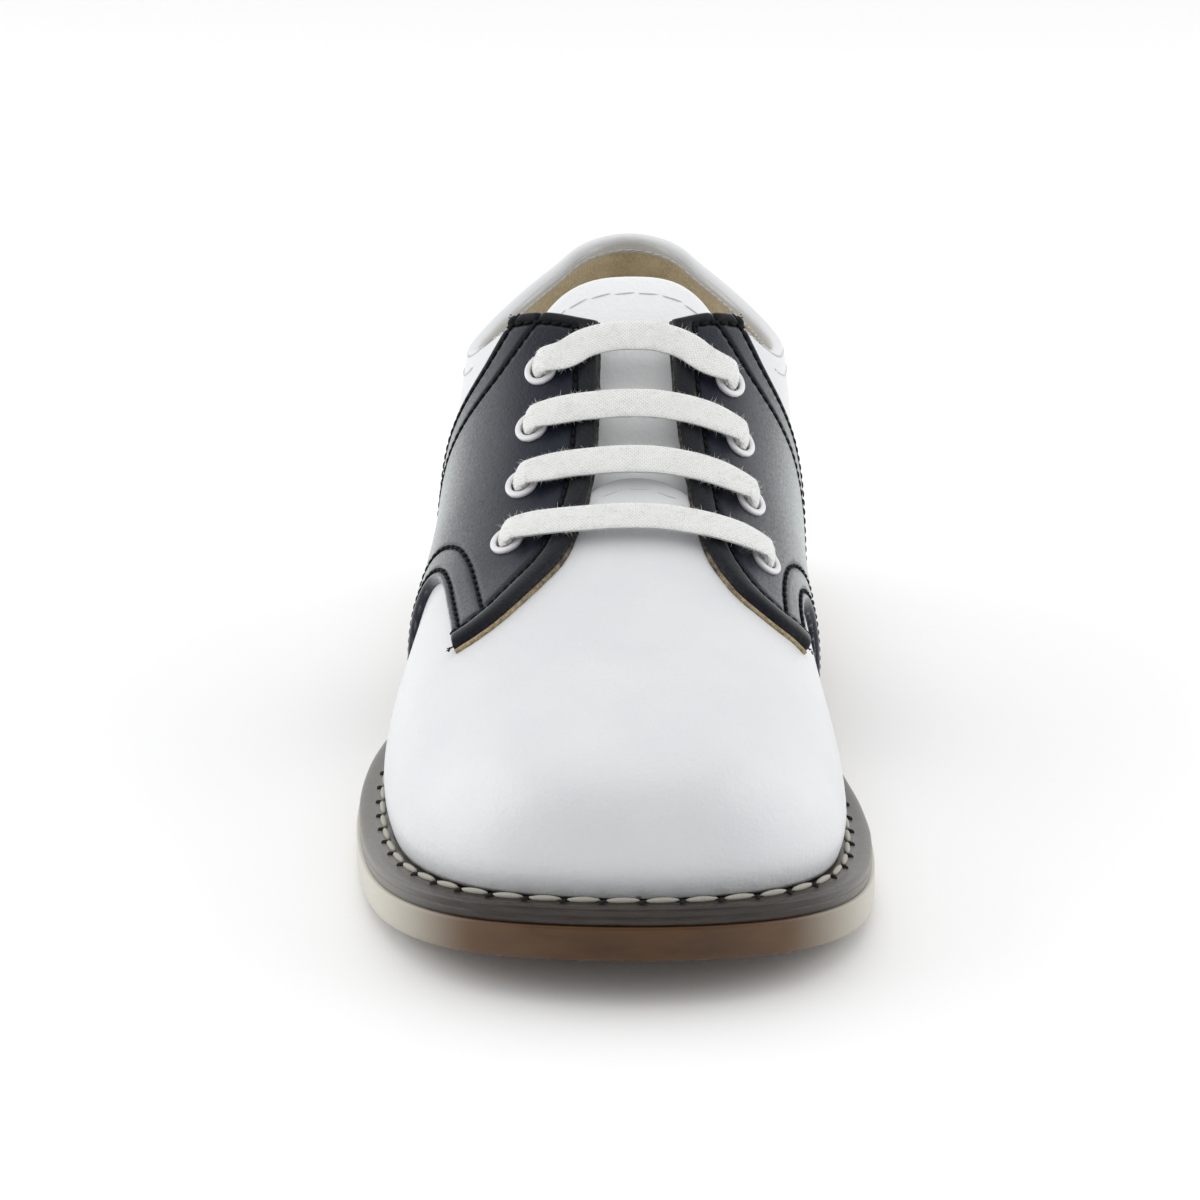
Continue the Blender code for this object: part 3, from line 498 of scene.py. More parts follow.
class Finish:
    """A material, with one method for any node and a few for what most finishes share."""

    def __init__(self, name, **constants):
        self.material = bpy.data.materials.new(name)
        self.material.use_nodes = True
        self.tree = self.material.node_tree
        self.shader = self.tree.nodes["Principled BSDF"]
        for socket, value in constants.items():
            self.shader.inputs[socket.replace("_", " ")].default_value = value

    def add(self, kind, settings=None, inputs=None, output=0):
        return Wire(self, new_node(self.tree, kind, settings, inputs).outputs[output])

    def math(self, operation, *values):
        return self.add("ShaderNodeMath", {"operation": operation}, dict(enumerate(values)))

    def place(self):
        return self.add("ShaderNodeTexCoord", output="Object")

    def coordinate(self, place, axis):
        return self.add("ShaderNodeSeparateXYZ", {}, {"Vector": place}, axis)

    def stretched(self, place, scale):
        return self.add("ShaderNodeMapping", {}, {"Vector": place, "Scale": scale})

    def noise(self, place, size, detail=3.0, roughness=0.5):
        inputs = {"Vector": place, "Scale": 1 / size, "Detail": detail, "Roughness": roughness}
        return self.add("ShaderNodeTexNoise", {}, inputs)

    def cells(self, place, size):
        return self.add("ShaderNodeTexVoronoi", {}, {"Vector": place, "Scale": 1 / size}, "Distance")

    def attribute(self, name):
        return self.add("ShaderNodeAttribute", {"attribute_name": name}, {}, "Fac")

    def band(self, wire, low, high):
        """0 below low, 1 above high, smooth between."""
        inputs = {"Value": wire, "From Min": low, "From Max": high}
        return self.add("ShaderNodeMapRange", {"interpolation_type": "SMOOTHSTEP"}, inputs)

    def mix(self, factor, a, b):
        inputs = {0: factor, 6: (*a, 1.0) if isinstance(a, tuple) else a}
        inputs[7] = (*b, 1.0) if isinstance(b, tuple) else b
        return self.add("ShaderNodeMix", {"data_type": "RGBA"}, inputs, 2)

    def clouded(self, wire, a, b, low=0.3, high=0.7):
        """One colour below low, another above high."""
        return self.mix(self.band(wire, low, high), a, b)

    def bump(self, height, distance):
        inputs = {"Height": height, "Distance": distance, "Strength": 1.0}
        return self.add("ShaderNodeBump", {}, inputs)

    def feed(self, **wires):
        for socket, wire in wires.items():
            self.tree.links.new(wire.socket, self.shader.inputs[socket.replace("_", " ")])
        return self.material


def leather_grain(finish, place, pore, depth):
    """Fine pores and soft wrinkles in the surface."""
    soft = finish.noise(place, 2.2 * pore, 4.0, 0.6)
    return finish.bump(finish.cells(place, pore) * 0.5 + soft, depth)


def from_middle(finish, place):
    """Distance from the shoe's middle line, to the left or the right."""
    return finish.math("ABSOLUTE", finish.coordinate(place, "X") + MIDDLE_X)


def white_leather_finish():
    finish = Finish("white_leather", Coat_Weight=0.18, Coat_Roughness=0.22)
    place = finish.place()
    base = finish.clouded(finish.noise(place, 18 * MM), (0.655, 0.665, 0.685), (0.69, 0.70, 0.715))
    rough = 0.36 + 0.12 * finish.noise(place, 3 * MM, 4.0)
    pleats = finish.noise(finish.stretched(place, (1.0, 1.0, 0.22)), 1.5 * MM, 3.0, 0.6)
    low = 1.0 - finish.band(finish.coordinate(place, "Z"), 10 * MM, 22 * MM)
    pores = finish.cells(place, 0.55 * MM)
    grain = finish.noise(place, 1.2 * MM, 4.0, 0.6)
    relief = finish.bump(pores * 0.5 + grain * (1.0 + low) + pleats * low * 3.0, 0.06 * MM)
    return finish.feed(Base_Color=base, Roughness=rough, Normal=relief)


def navy_leather_finish():
    sheen = {"Sheen_Weight": 0.55, "Sheen_Roughness": 0.28, "Sheen_Tint": (0.80, 0.94, 0.92, 1.0)}
    finish = Finish("navy_leather", Specular_IOR_Level=0.25, Coat_Roughness=0.34, **sheen)
    place = finish.place()
    base = finish.clouded(finish.noise(place, 9 * MM, 4.0), (0.0045, 0.0062, 0.015), (0.0085, 0.0108, 0.022))
    edge = finish.band(finish.attribute("border"), 0.2, 0.9)
    groove = finish.attribute("groove")
    # Painted shade: the folded border is painted darker, standing in for the shade where it curves down and
    # forward, away from the lights.
    base = finish.mix(edge, base, (0.0035, 0.0042, 0.0075))
    # Painted shade: the seams' grooves are painted near black, standing in for the shadow inside them.
    base = finish.mix(groove, base, (0.001, 0.0012, 0.002))
    speckle = finish.band(finish.noise(place, 0.5 * MM, 5.0, 0.75), 0.34, 0.68)
    slope = finish.add("ShaderNodeLayerWeight", {}, {"Blend": 0.5}, "Facing")
    gloss = finish.band(slope, 0.25, 0.72) * (0.6 + 1.4 * speckle) * (1.0 - 0.7 * edge) * (1.0 - 0.8 * groove)
    rough = 0.34 + 0.24 * speckle + 0.15 * edge + 0.3 * groove
    grain = leather_grain(finish, place, 0.42 * MM, 0.10 * MM)
    return finish.feed(Base_Color=base, Roughness=rough, Coat_Weight=gloss, Normal=grain)


def tongue_leather_finish():
    finish = Finish("tongue_leather", Roughness=0.45)
    place = finish.place()
    base = finish.clouded(finish.noise(place, 12 * MM), (0.82, 0.83, 0.84), (0.86, 0.87, 0.875))
    return finish.feed(Base_Color=base, Normal=leather_grain(finish, place, 0.8 * MM, 0.09 * MM))


def lining_finish():
    finish = Finish("lining_leather", Roughness=0.95, Sheen_Weight=0.3)
    place = finish.place()
    patches = finish.noise(place, 5 * MM, 5.0, 0.65)
    fibres = finish.noise(place, 0.5 * MM, 4.0, 0.7)
    color = finish.clouded(patches, (0.50, 0.39, 0.21), (0.73, 0.61, 0.39), 0.32, 0.68)
    color = finish.clouded(fibres, color, (0.76, 0.67, 0.48), 0.3, 0.8)
    return finish.feed(Base_Color=color, Normal=finish.bump(fibres + patches, 0.35 * MM))


def raw_edge_finish():
    finish = Finish("raw_edge", Roughness=0.9)
    place = finish.place()
    fibres = finish.noise(place, 0.6 * MM, 4.0, 0.7)
    tan = finish.clouded(fibres, (0.20, 0.145, 0.075), (0.50, 0.40, 0.24))
    # Painted shade: the edge is near black where it runs up the throat, and tan only towards its lower end.
    painted_edge_shade = finish.clouded(fibres, (0.012, 0.012, 0.013), (0.10, 0.085, 0.065), 0.35, 0.65)
    patches = finish.noise(place, 3.5 * MM)
    color = finish.clouded(finish.attribute("down_the_front") + patches * 0.5, painted_edge_shade, tan, 0.86, 1.10)
    return finish.feed(Base_Color=color, Normal=finish.bump(fibres, 0.2 * MM))


def welt_finish():
    finish = Finish("dark_welt", Specular_IOR_Level=0.5)
    place = finish.place()
    layers = finish.noise(finish.stretched(place, (1.0, 1.0, 9.0)), 4 * MM, 4.0, 0.6)
    specks = finish.noise(place, 0.5 * MM, 3.0, 0.7)
    color = finish.clouded(layers, (0.013, 0.0085, 0.006), (0.029, 0.020, 0.014))
    # Painted reflection: the welt is painted pale grey towards its sides, standing in for the bright side
    # walls reflected in its top.
    side = finish.band(from_middle(finish, place), 0.024, 0.037) * 0.8
    color = finish.mix(side, color, (0.20, 0.195, 0.18))
    relief = finish.bump(layers + specks * 0.4, 0.08 * MM)
    return finish.feed(Base_Color=color, Roughness=0.22 + 0.22 * specks, Normal=relief)


def gum_rubber_finish():
    gloss = {"Coat_Weight": 0.08, "Coat_Roughness": 0.12, "Specular_IOR_Level": 0.3}
    finish = Finish("gum_rubber", Roughness=0.34, **gloss)
    place = finish.place()
    clouds = finish.noise(finish.stretched(place, (1.0, 1.0, 2.5)), 8 * MM)
    color = finish.clouded(clouds, (0.048, 0.019, 0.005), (0.078, 0.034, 0.009))
    away = from_middle(finish, place)
    # Painted light: towards the sides the rubber is painted a paler brown, then pale grey, with less grey
    # towards the heel. This stands in for the side boxes' light reflected on its glossy sides.
    color = finish.mix(finish.band(away, 0.004, 0.028) * 0.6, color, (0.15, 0.095, 0.052))
    heelward = finish.band(finish.coordinate(place, "Y"), -0.06, 0.02)
    color = finish.mix(finish.band(away, 0.021, 0.038) * (0.95 - 0.40 * heelward), color, (0.56, 0.54, 0.47))
    return finish.feed(Base_Color=color, Normal=finish.bump(clouds, 0.1 * MM))


def eyelet_finish():
    finish = Finish("white_plastic", Roughness=0.3, Coat_Weight=0.3)
    clouds = finish.noise(finish.place(), 2 * MM)
    return finish.feed(Base_Color=finish.mix(clouds, (0.68, 0.67, 0.69), (0.75, 0.74, 0.76)))


def cotton_finish():
    finish = Finish("white_cotton", Roughness=0.92, Sheen_Weight=0.35)
    along = finish.attribute("lace_along")
    around = finish.attribute("lace_around")
    weave = 2 * math.pi / (0.62 * MM)
    left = finish.math("SINE", (along + around) * weave)
    right = finish.math("SINE", (along - around) * weave)
    yarn = finish.math("MAXIMUM", left, right)
    fuzz = finish.noise(finish.place(), 0.35 * MM, 4.0, 0.7)
    color = finish.clouded(yarn * 0.5 + fuzz, (0.79, 0.79, 0.775), (0.86, 0.86, 0.845), -0.2, 1.0)
    return finish.feed(Base_Color=color, Normal=finish.bump(yarn * 0.4 + fuzz, 0.12 * MM))


def thread_finish(name, color):
    finish = Finish(name, Roughness=0.75, Specular_IOR_Level=0.2)
    strands = finish.noise(finish.place(), 0.25 * MM, 2.0)
    shade = finish.mix(strands, tuple(0.7 * c for c in color), color)
    return finish.feed(Base_Color=shade, Normal=finish.bump(strands, 0.05 * MM))


def plain_finish(name, color, roughness):
    return Finish(name, Roughness=roughness, Base_Color=(*color, 1.0)).material


# Meshes.


def grid_faces(rows, columns, closed=False):
    """Quads of a grid of points, as indices counted along its rows."""
    i = np.arange(rows - 1)[:, None] * columns
    k = np.arange(columns if closed else columns - 1)[None, :]
    a, b = i + k, i + (k + 1) % columns
    return np.stack([a, b, b + columns, a + columns], -1).reshape(-1, 4)


def linked(name, data):
    """A new object in the scene."""
    thing = bpy.data.objects.new(name, data)
    bpy.context.scene.collection.objects.link(thing)
    return thing


def joined(name, grids, material, closed=False, attributes=None, extra=()):
    """One mesh from grids of points, welded where they meet, with its faces turned outwards."""
    points, faces, start = [], [], 0
    for grid in grids:
        rows, columns = grid.shape[:2]
        faces += (grid_faces(rows, columns, closed) + start).tolist()
        points.append(grid.reshape(-1, 3))
        start += rows * columns
    mesh = bpy.data.meshes.new(name)
    mesh.from_pydata((np.concatenate(points) + TO_FRAME).tolist(), [], faces + list(extra))
    for key, values in (attributes or {}).items():
        layer = mesh.attributes.new(key, "FLOAT", "POINT")
        layer.data.foreach_set("value", np.asarray(values, float).ravel())
    form = bmesh.new()
    form.from_mesh(mesh)
    bmesh.ops.remove_doubles(form, verts=form.verts, dist=2e-6)
    bmesh.ops.dissolve_degenerate(form, edges=form.edges, dist=1e-7)
    bmesh.ops.recalc_face_normals(form, faces=form.faces)
    form.to_mesh(mesh)
    form.free()
    mesh.shade_smooth()
    mesh.materials.append(material)
    return linked(name, mesh)


RIMS = (np.s_[0, :], np.s_[-1, :], np.s_[:, 0], np.s_[:, -1])


def rims(face, back, picks=RIMS):
    """Strips that join the rims of two grids."""
    return [np.stack([face[pick], back[pick]], 0) for pick in picks]


def keep(piece, slot, *nodes):
    """Makes a finished piece part of the shoe."""
    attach(piece, "root")
    if nodes:
        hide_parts(*nodes)
    return piece


# Lines on the last.


def collar_curve():
    """The collar's height above the floor as a function of the distance from the toe."""
    seat = float(feather_height(1.0))
    points = [(a * LAST_LENGTH, seat + i * INSTEP_RISE + c * COLLAR_HEIGHT) for a, i, c in COLLAR_TABLE]
    line = rounded_path(points)
    return lambda y: np.interp(y, line[:, 0], line[:, 1])


COLLAR = collar_curve()


def collar_climb(row, side):
    """Where the collar's edge crosses each row."""
    low, high = np.zeros_like(row), np.ones_like(row)
    for _ in range(30):
        middle = (low + high) / 2
        point = last_point(row, side, middle)
        under = point[..., 2] < COLLAR(point[..., 1])
        low, high = np.where(under, middle, low), np.where(under, high, middle)
    return (low + high) / 2


def throat_places(side, widen=0.0):
    """The throat's edge and the saddle's front edge as along and climb, from the facing's top down."""
    line = rounded_path(THROAT_TABLES[side])
    row = row_at(line[:, 0])
    return line[:, 0], climb_across(row, side, line[:, 1] * BALL_HALF_WIDTH + widen)


def table_places(table):
    line = rounded_path(table)
    return line[:, 0], climb_high(row_at(line[:, 0]), line[:, 1])


def free_edge_climb(row, side):
    """The climb of the upper's free edge behind the vamp: the throat, then the collar."""
    along, climb = throat_places(side, THROAT_OVERHANG)
    behind = along > VAMP_EDGE_ALONG - 0.03
    order = np.argsort(along[behind])
    throat = np.interp(LAST["along"](row), along[behind][order], climb[behind][order])
    return np.minimum(throat, collar_climb(row, side))


def edge_steps(rows, side, top):
    """Points at an edge's climb, short steps down from them, and the length per climb there."""
    edge = last_point(rows, side, top)
    step = last_point(rows, side, top - 0.02) - edge
    return edge, step, np.maximum(np.linalg.norm(step, axis=-1) / 0.02, 0.02)


def edge_roll(centre, normal, inwards, radius, steps):
    """Half a turn round a wall's free edge, from its outer to its inner face."""
    turns = np.linspace(0, math.pi, steps + 1)
    return np.stack([centre + radius * (normal * math.cos(t) - inwards * math.sin(t)) for t in turns], 1)


def make_upper(material):
    """Vamp and quarters: one wall with rolled edges, and the white band folded inside the collar."""
    edge_row = float(row_at(VAMP_EDGE_ALONG))
    front = np.linspace(0, edge_row, 120)
    rear = np.linspace(edge_row, HEEL_ROW, 150)
    outer_share = np.linspace(0, 1, 60)
    inner_share = np.linspace(1, 0, 22)[1:]
    radius = (UPPER_WALL + BAND_THICKNESS) / 2
    band = np.linspace(1.05 * radius, 0.97 * BAND_DEPTH, 4)
    band = np.concatenate([band, BAND_DEPTH + np.array([0.1, 0.35, 1.0, 2.4]) * MM])
    below = np.concatenate([band, np.full(len(inner_share), 1.0)])
    wall = UPPER_WALL + BAND_THICKNESS * (1 - smooth_step((below - BAND_DEPTH) / (0.35 * MM)))
    grids = []
    tops = {}
    for side in SIDES:
        top_front = np.full(len(front), float(free_edge_climb(np.array([edge_row]), side)[0]))
        tops[side] = top_front[0]
        for rows, top in ((front, top_front), (rear, free_edge_climb(rear, side))):
            edge, step, speed = edge_steps(rows, side, top)
            shoulder = top - (radius / speed if rows is rear else 0)
            outer = last_point(rows[:, None], side, outer_share[None, :] * shoulder[:, None])
            inner_climb = top[:, None] - band[None, :] / speed[:, None]
            inner_climb = np.hstack([inner_climb, inner_climb[:, -1:] * inner_share[None, :]])
            inner = shell_point(rows[:, None], side, inner_climb, -wall[None, :] * np.ones_like(inner_climb))
            if rows is rear:
                normal = last_normal(rows, side, top)
                inwards = unit(np.cross(normal, np.gradient(edge, axis=0)) * side)
                inwards = np.where((inwards * step).sum(-1, keepdims=True) < 0, -inwards, inwards)
                roll = edge_roll(edge + inwards * radius - normal * radius, normal, inwards, radius, 8)
                grids.append(np.concatenate([outer, roll, inner], 1))
            else:
                grids += [outer, inner, np.stack([outer[:, 0], inner[:, -1]], 1)]
    return joined("upper_leather", grids + vamp_middle(front, tops), material)


def vamp_middle(front, tops):
    """The vamp between the facings' lines, up to its arched edge over the tongue."""
    share = np.linspace(0.0, 1.0, 22)
    climbs = {side: top + (1 - top) * share for side, top in tops.items()}
    climb = np.concatenate([climbs[LATERAL], climbs[MEDIAL][::-1][1:]])
    side = np.repeat([LATERAL, MEDIAL], [22, 21])
    span = (1 - climb) / np.array([1 - tops[s] for s in side])
    lift = VAMP_EDGE_ARC / LAST_LENGTH * np.maximum(0, 1 - np.minimum(span, 1) ** 2)
    end = row_at(VAMP_EDGE_ALONG + lift)
    share = smooth_step((front - front[-1] + 2.0) / 2.0)
    rows = front[:, None] + share[:, None] * (end - front[-1])[None, :]
    outer = last_point(rows, side[None, :], climb[None, :])
    inner = shell_point(rows, side[None, :], climb[None, :], np.full(rows.shape, -UPPER_WALL))
    edge, normal = outer[-1], last_normal(rows[-1], side, climb)
    inwards = unit(np.cross(np.gradient(edge, axis=0), normal))
    inwards = np.where(inwards[:, 1:2] > 0, -inwards, inwards)
    radius = 0.6 * MM
    roll = edge_roll(edge - normal * radius, normal, inwards, radius, 6)
    return [outer, inner, np.swapaxes(roll, 0, 1)]


def cross_places(first, second):
    """Where two lines of places cross: the index on each of the nearest pair."""
    gap = np.hypot(*(first[:, None, k] - second[None, :, k] for k in (0, 1)))
    i, j = np.unravel_index(np.argmin(gap), gap.shape)
    return int(i), int(j)


def spaced(line, side, count):
    """A line of places divided evenly by its real length, or at the shares of it given as count."""
    length = running_length(points_of(line, side))
    at = np.linspace(0, length[-1], count) if np.isscalar(count) else np.asarray(count) * length[-1]
    return resampled(line, length, at)


def saddle_lines(side):
    """The saddle's outline as lines of along and climb: top, throat, arch and rear."""
    throat = spaced(np.stack(throat_places(side), 1), side, 3000)
    arch = spaced(np.stack(table_places(ARCH_TABLES[side]), 1), side, 2000)
    rear = spaced(np.stack(table_places(REAR_TABLE), 1), side, 2000)[::-1]
    rows = row_at(np.linspace(0.50, 0.66, 900))
    collar = np.stack([LAST["along"](rows), collar_climb(rows, side)], 1)
    scale = np.array([1.0, 0.4])
    start, top_start = cross_places(throat * scale, collar * scale)
    rear_start, top_end = cross_places(rear * scale, collar * scale)
    throat_end, arch_start = cross_places(throat * scale, arch * scale)
    top = collar[min(top_start, top_end) : max(top_start, top_end) + 1]
    return top, throat[start : throat_end + 1], arch[arch_start:], rear[rear_start:]


def graded(length):
    """Shares of a length from 0 to 1, in close steps at both ends and wide ones between them."""
    fine, coarse = SADDLE_MESH
    at, step = [0.0], fine
    while at[-1] < length / 2:
        at.append(at[-1] + step)
        step = min(step * 1.35, coarse)
    half = np.array(at) / at[-1] / 2
    return np.concatenate([half, 1 - half[::-1][1:]])


def saddle_places(side):
    """A grid of places that fills the saddle's outline, close-meshed along its edges."""
    top, throat, arch, rear = saddle_lines(side)
    across, down = (graded(span) for span in SADDLE_SPAN)
    below = arch[-1] + (rear[-1] - arch[-1]) * np.linspace(0, 1, 400)[1:, None]
    front, back = spaced(throat, side, down), spaced(rear, side, down)
    head, foot = spaced(top, side, across), spaced(np.vstack([arch, below]), side, across)
    u, t = across[None, :, None], down[:, None, None]
    sides = (1 - u) * front[:, None] + u * back[:, None]
    ends = (1 - t) * head[None] + t * foot[None]
    corners = (1 - t) * ((1 - u) * front[0] + u * back[0]) + t * ((1 - u) * front[-1] + u * back[-1])
    return sides + ends - corners


def saddle_middle(side):
    """A point near the middle of the saddle."""
    places = saddle_places(side)
    return points_of(places[places.shape[0] // 2, places.shape[1] // 2][None], side)[0]


def nearest(points, line):
    """Distance from each point to the nearest point of a dense line."""
    flat = points.reshape(-1, 3)
    gaps = []
    for k in range(0, len(flat), 4000):
        gaps.append(np.linalg.norm(flat[k : k + 4000, None] - line[None], axis=-1).min(1))
    return np.concatenate(gaps).reshape(points.shape[:-1])


def seam(distance):
    """How deep a seam pulls the leather in, 1 at its middle, by the distance from it."""
    return np.exp(-((distance / SEAM_HALF_WIDTH) ** 2))


def saddle_height(side, points):
    """Height of the saddle's face over its back, its folded border and its seams' grooves."""
    parts = [points_of(spaced(line, side, 320), side) for line in saddle_lines(side)]
    gaps = np.stack([nearest(points, part) for part in parts], 0)
    inset = np.minimum(gaps.min(0) / EDGE_ROUND, 1)
    height = SADDLE_THICKNESS * np.sqrt(1 - (1 - inset) ** 2)
    border = np.clip(np.minimum(gaps[0] / TOP_SEAM, gaps[1] / THROAT_SEAM), 0, 1)
    height = height + BORDER_PUFF * np.sin(math.pi * border) ** 0.8
    groove = seam(np.minimum(gaps[1] - THROAT_SEAM, gaps[0] - TOP_SEAM))
    inner = smooth_step(np.clip((gaps[1] - THROAT_SEAM) / (0.5 * MM), 0, 1))
    for at in OPEN_SEAMS:
        for k in (2, 3):
            groove = np.maximum(groove, 0.8 * inner * seam(gaps[k] - at))
    return np.maximum(height - SEAM_GROOVE * groove, 0.02 * MM), border < 1, groove


def make_saddle(side, material):
    places = saddle_places(side)
    base, normal = surface(row_at(places[..., 0]), side, np.clip(places[..., 1], 0, 1))
    height, border, groove = saddle_height(side, base)
    face = base + normal * (GAP + height)[..., None]
    back = base + normal * (0.1 * MM)
    rest = [back] + rims(face, back)
    plain = [np.zeros(grid.shape[:2]).ravel() for grid in rest]
    # The border and groove masks also set where the navy finish paints shade: on the folded border and in the
    # seams' grooves.
    attributes = {"border": border, "groove": groove}
    attributes = {key: np.concatenate([mask.ravel()] + plain) for key, mask in attributes.items()}
    return joined(f"saddle_leather_{SIDES[side]}", [face] + rest, material, attributes=attributes)


def walk(line, side, distance, steps):
    """A line of places moved across the surface, away from its own left side where distance is positive."""
    place = line.copy()
    distance = np.reshape(distance, (-1, 1))
    for _ in range(steps):
        row = row_at(place[:, 0])
        point, normal = surface(row, side, place[:, 1])
        way = unit(np.cross(normal, unit(np.gradient(point, axis=0)))) * side
        by_along = (last_point(row_at(place[:, 0] + 1e-3), side, place[:, 1]) - point) / 1e-3
        by_climb = (last_point(row, side, np.clip(place[:, 1] - 1e-3, 0, 1)) - point) / -1e-3
        matrix = np.stack([by_along, by_climb], -1)
        # At the feather edge by_climb is only rounding noise, which the limit leaves out.
        inverse = np.linalg.pinv(matrix, rcond=1e-6)
        place = place + np.einsum("nij,nj->ni", inverse, way * distance / steps)
        place[:, 1] = np.clip(place[:, 1], 0, 0.999)
    return place


def drawn_in(line, side, distance, middle, steps=6):
    """A line of places moved towards the saddle's middle, or away from it where distance is negative."""
    options = [walk(line, side, sign * np.abs(distance), steps) for sign in (1, -1)]
    far = [np.linalg.norm(points_of(option, side) - middle, axis=1).mean() for option in options]
    return options[int(np.argmax(far) if np.all(distance < 0) else np.argmin(far))]


# Threads, by Geometry Nodes.


class Recipe:
    """A Geometry Nodes tree with named inputs, which grows small copies on a mesh."""

    def __init__(self, name, **sizes):
        self.tree = bpy.data.node_groups.new(name, "GeometryNodeTree")
        face = self.tree.interface
        face.new_socket(name="Guide", in_out="INPUT", socket_type="NodeSocketGeometry")
        for label, value in sizes.items():
            face.new_socket(name=label, in_out="INPUT", socket_type="NodeSocketFloat").default_value = value
        face.new_socket(name="Thread", in_out="INPUT", socket_type="NodeSocketMaterial")
        face.new_socket(name="Result", in_out="OUTPUT", socket_type="NodeSocketGeometry")
        self.given = self.tree.nodes.new("NodeGroupInput").outputs

    def add(self, kind, settings=None, inputs=None):
        return new_node(self.tree, kind, settings, inputs).outputs

    def end(self, copies):
        real = self.add("GeometryNodeRealizeInstances", {}, {"Geometry": copies})
        smooth = self.add("GeometryNodeSetShadeSmooth", {}, {"Geometry": real[0]})
        inputs = {"Geometry": smooth[0], "Material": self.given["Thread"]}
        finish = self.add("GeometryNodeSetMaterial", {}, inputs)
        result = self.tree.nodes.new("NodeGroupOutput")
        self.tree.links.new(finish[0], result.inputs["Result"])
        return self.tree


def stitch_recipe():
    """Even stitches along each path, laid on the surface and turned with it."""
    sizes = {"Pitch": STITCH_PITCH, "Length": STITCH_LENGTH, "Width": STITCH_WIDTH, "Slant": STITCH_SLANT}
    recipe = Recipe("stitch_row", **sizes)
    given = recipe.given
    curve = recipe.add("GeometryNodeMeshToCurve", {}, {"Mesh": given["Guide"]})
    inputs = {"Curve": curve["Curve"], "Length": given["Pitch"]}
    even = recipe.add("GeometryNodeResampleCurve", {"mode": "LENGTH"}, inputs)
    ball = recipe.add("GeometryNodeMeshUVSphere", {}, {"Segments": 8, "Rings": 6, "Radius": 0.5})
    size = {"X": given["Length"], "Y": given["Width"], "Z": given["Width"]}
    size = recipe.add("ShaderNodeCombineXYZ", {}, size)
    tangent = recipe.add("GeometryNodeInputTangent")
    up = recipe.add("GeometryNodeInputNamedAttribute", {"data_type": "FLOAT_VECTOR"}, {"Name": "up"})
    align = "FunctionNodeAlignRotationToVector"
    ahead = recipe.add(align, {"axis": "X"}, {"Vector": tangent[0]})
    inputs = {"Rotation": ahead[0], "Vector": up["Attribute"]}
    upright = recipe.add(align, {"axis": "Z", "pivot_axis": "X"}, inputs)
    turn = recipe.add("FunctionNodeAxisAngleToRotation", {}, {"Axis": (0, 0, 1), "Angle": given["Slant"]})
    inputs = {"Rotation": upright[0], "Rotate By": turn[0]}
    slanted = recipe.add("FunctionNodeRotateRotation", {"rotation_space": "LOCAL"}, inputs)
    inputs = {"Points": even[0], "Instance": ball["Mesh"], "Rotation": slanted[0], "Scale": size[0]}
    return recipe.end(recipe.add("GeometryNodeInstanceOnPoints", {}, inputs)[0])


def fuzz_recipe():
    """Short loose fibres that stand out from cotton in all directions."""
    recipe = Recipe("cotton_fuzz", Density=FUZZ_DENSITY, Length=FUZZ_LENGTH, Thickness=FUZZ_THICKNESS)
    given = recipe.given
    inputs = {"Mesh": given["Guide"], "Density": given["Density"], "Seed": 5}
    roots = recipe.add("GeometryNodeDistributePointsOnFaces", {}, inputs)
    inputs = {"Vertices": 3, "Radius Bottom": given["Thickness"], "Radius Top": 0.0, "Depth": given["Length"]}
    fibre = recipe.add("GeometryNodeMeshCone", {"fill_type": "NONE"}, inputs)
    lean = {"Min": (-1.3, -1.3, -3.0), "Max": (1.3, 1.3, 3.0), "Seed": 11}
    lean = recipe.add("FunctionNodeRandomValue", {"data_type": "FLOAT_VECTOR"}, lean)
    lean = recipe.add("FunctionNodeEulerToRotation", {}, {"Euler": lean[0]})
    inputs = {"Rotation": roots["Rotation"], "Rotate By": lean[0]}
    turned = recipe.add("FunctionNodeRotateRotation", {"rotation_space": "LOCAL"}, inputs)
    size = recipe.add("FunctionNodeRandomValue", {"data_type": "FLOAT"}, {"Seed": 17})
    inputs = {"Points": roots["Points"], "Instance": fibre["Mesh"], "Rotation": turned[0], "Scale": size[1]}
    return recipe.end(recipe.add("GeometryNodeInstanceOnPoints", {}, inputs)[0])


STITCHES = stitch_recipe()
FUZZ = fuzz_recipe()


def grown(name, guide_mesh, recipe, thread, sizes):
    """A plain mesh of what a recipe grows on a guide."""
    guide = linked(name + "_guide", guide_mesh)
    modifier = guide.modifiers.new("growth", "NODES")
    modifier.node_group = recipe
    values = dict(sizes, Thread=thread)
    for item in recipe.interface.items_tree:
        if item.in_out == "INPUT" and item.name in values:
            modifier[item.identifier] = values[item.name]
    guide.update_tag()
    depsgraph = bpy.context.evaluated_depsgraph_get()
    depsgraph.update()
    result = bpy.data.meshes.new_from_object(guide.evaluated_get(depsgraph))
    bpy.data.objects.remove(guide, do_unlink=True)
    return linked(name, result)


def stitched(name, paths, thread, **sizes):
    """Stitches along paths, each given as points and their outward directions."""
    points, ups, edges, start = [], [], [], 0
    for path, up in paths:
        points.append(path + TO_FRAME)
        ups.append(up)
        edges += [(start + k, start + k + 1) for k in range(len(path) - 1)]
        start += len(path)
    mesh = bpy.data.meshes.new(name + "_path")
    mesh.from_pydata(np.concatenate(points).tolist(), edges, [])
    layer = mesh.attributes.new("up", "FLOAT_VECTOR", "POINT")
    layer.data.foreach_set("vector", np.concatenate(ups).astype(float).ravel())
    return grown(name, mesh, STITCHES, thread, sizes)


def row_of_stitches(line, side, height):
    """A path on the surface at a height, for the stitches to lie on."""
    point, normal = surface(row_at(line[:, 0]), side, line[:, 1])
    return point + normal * height, normal


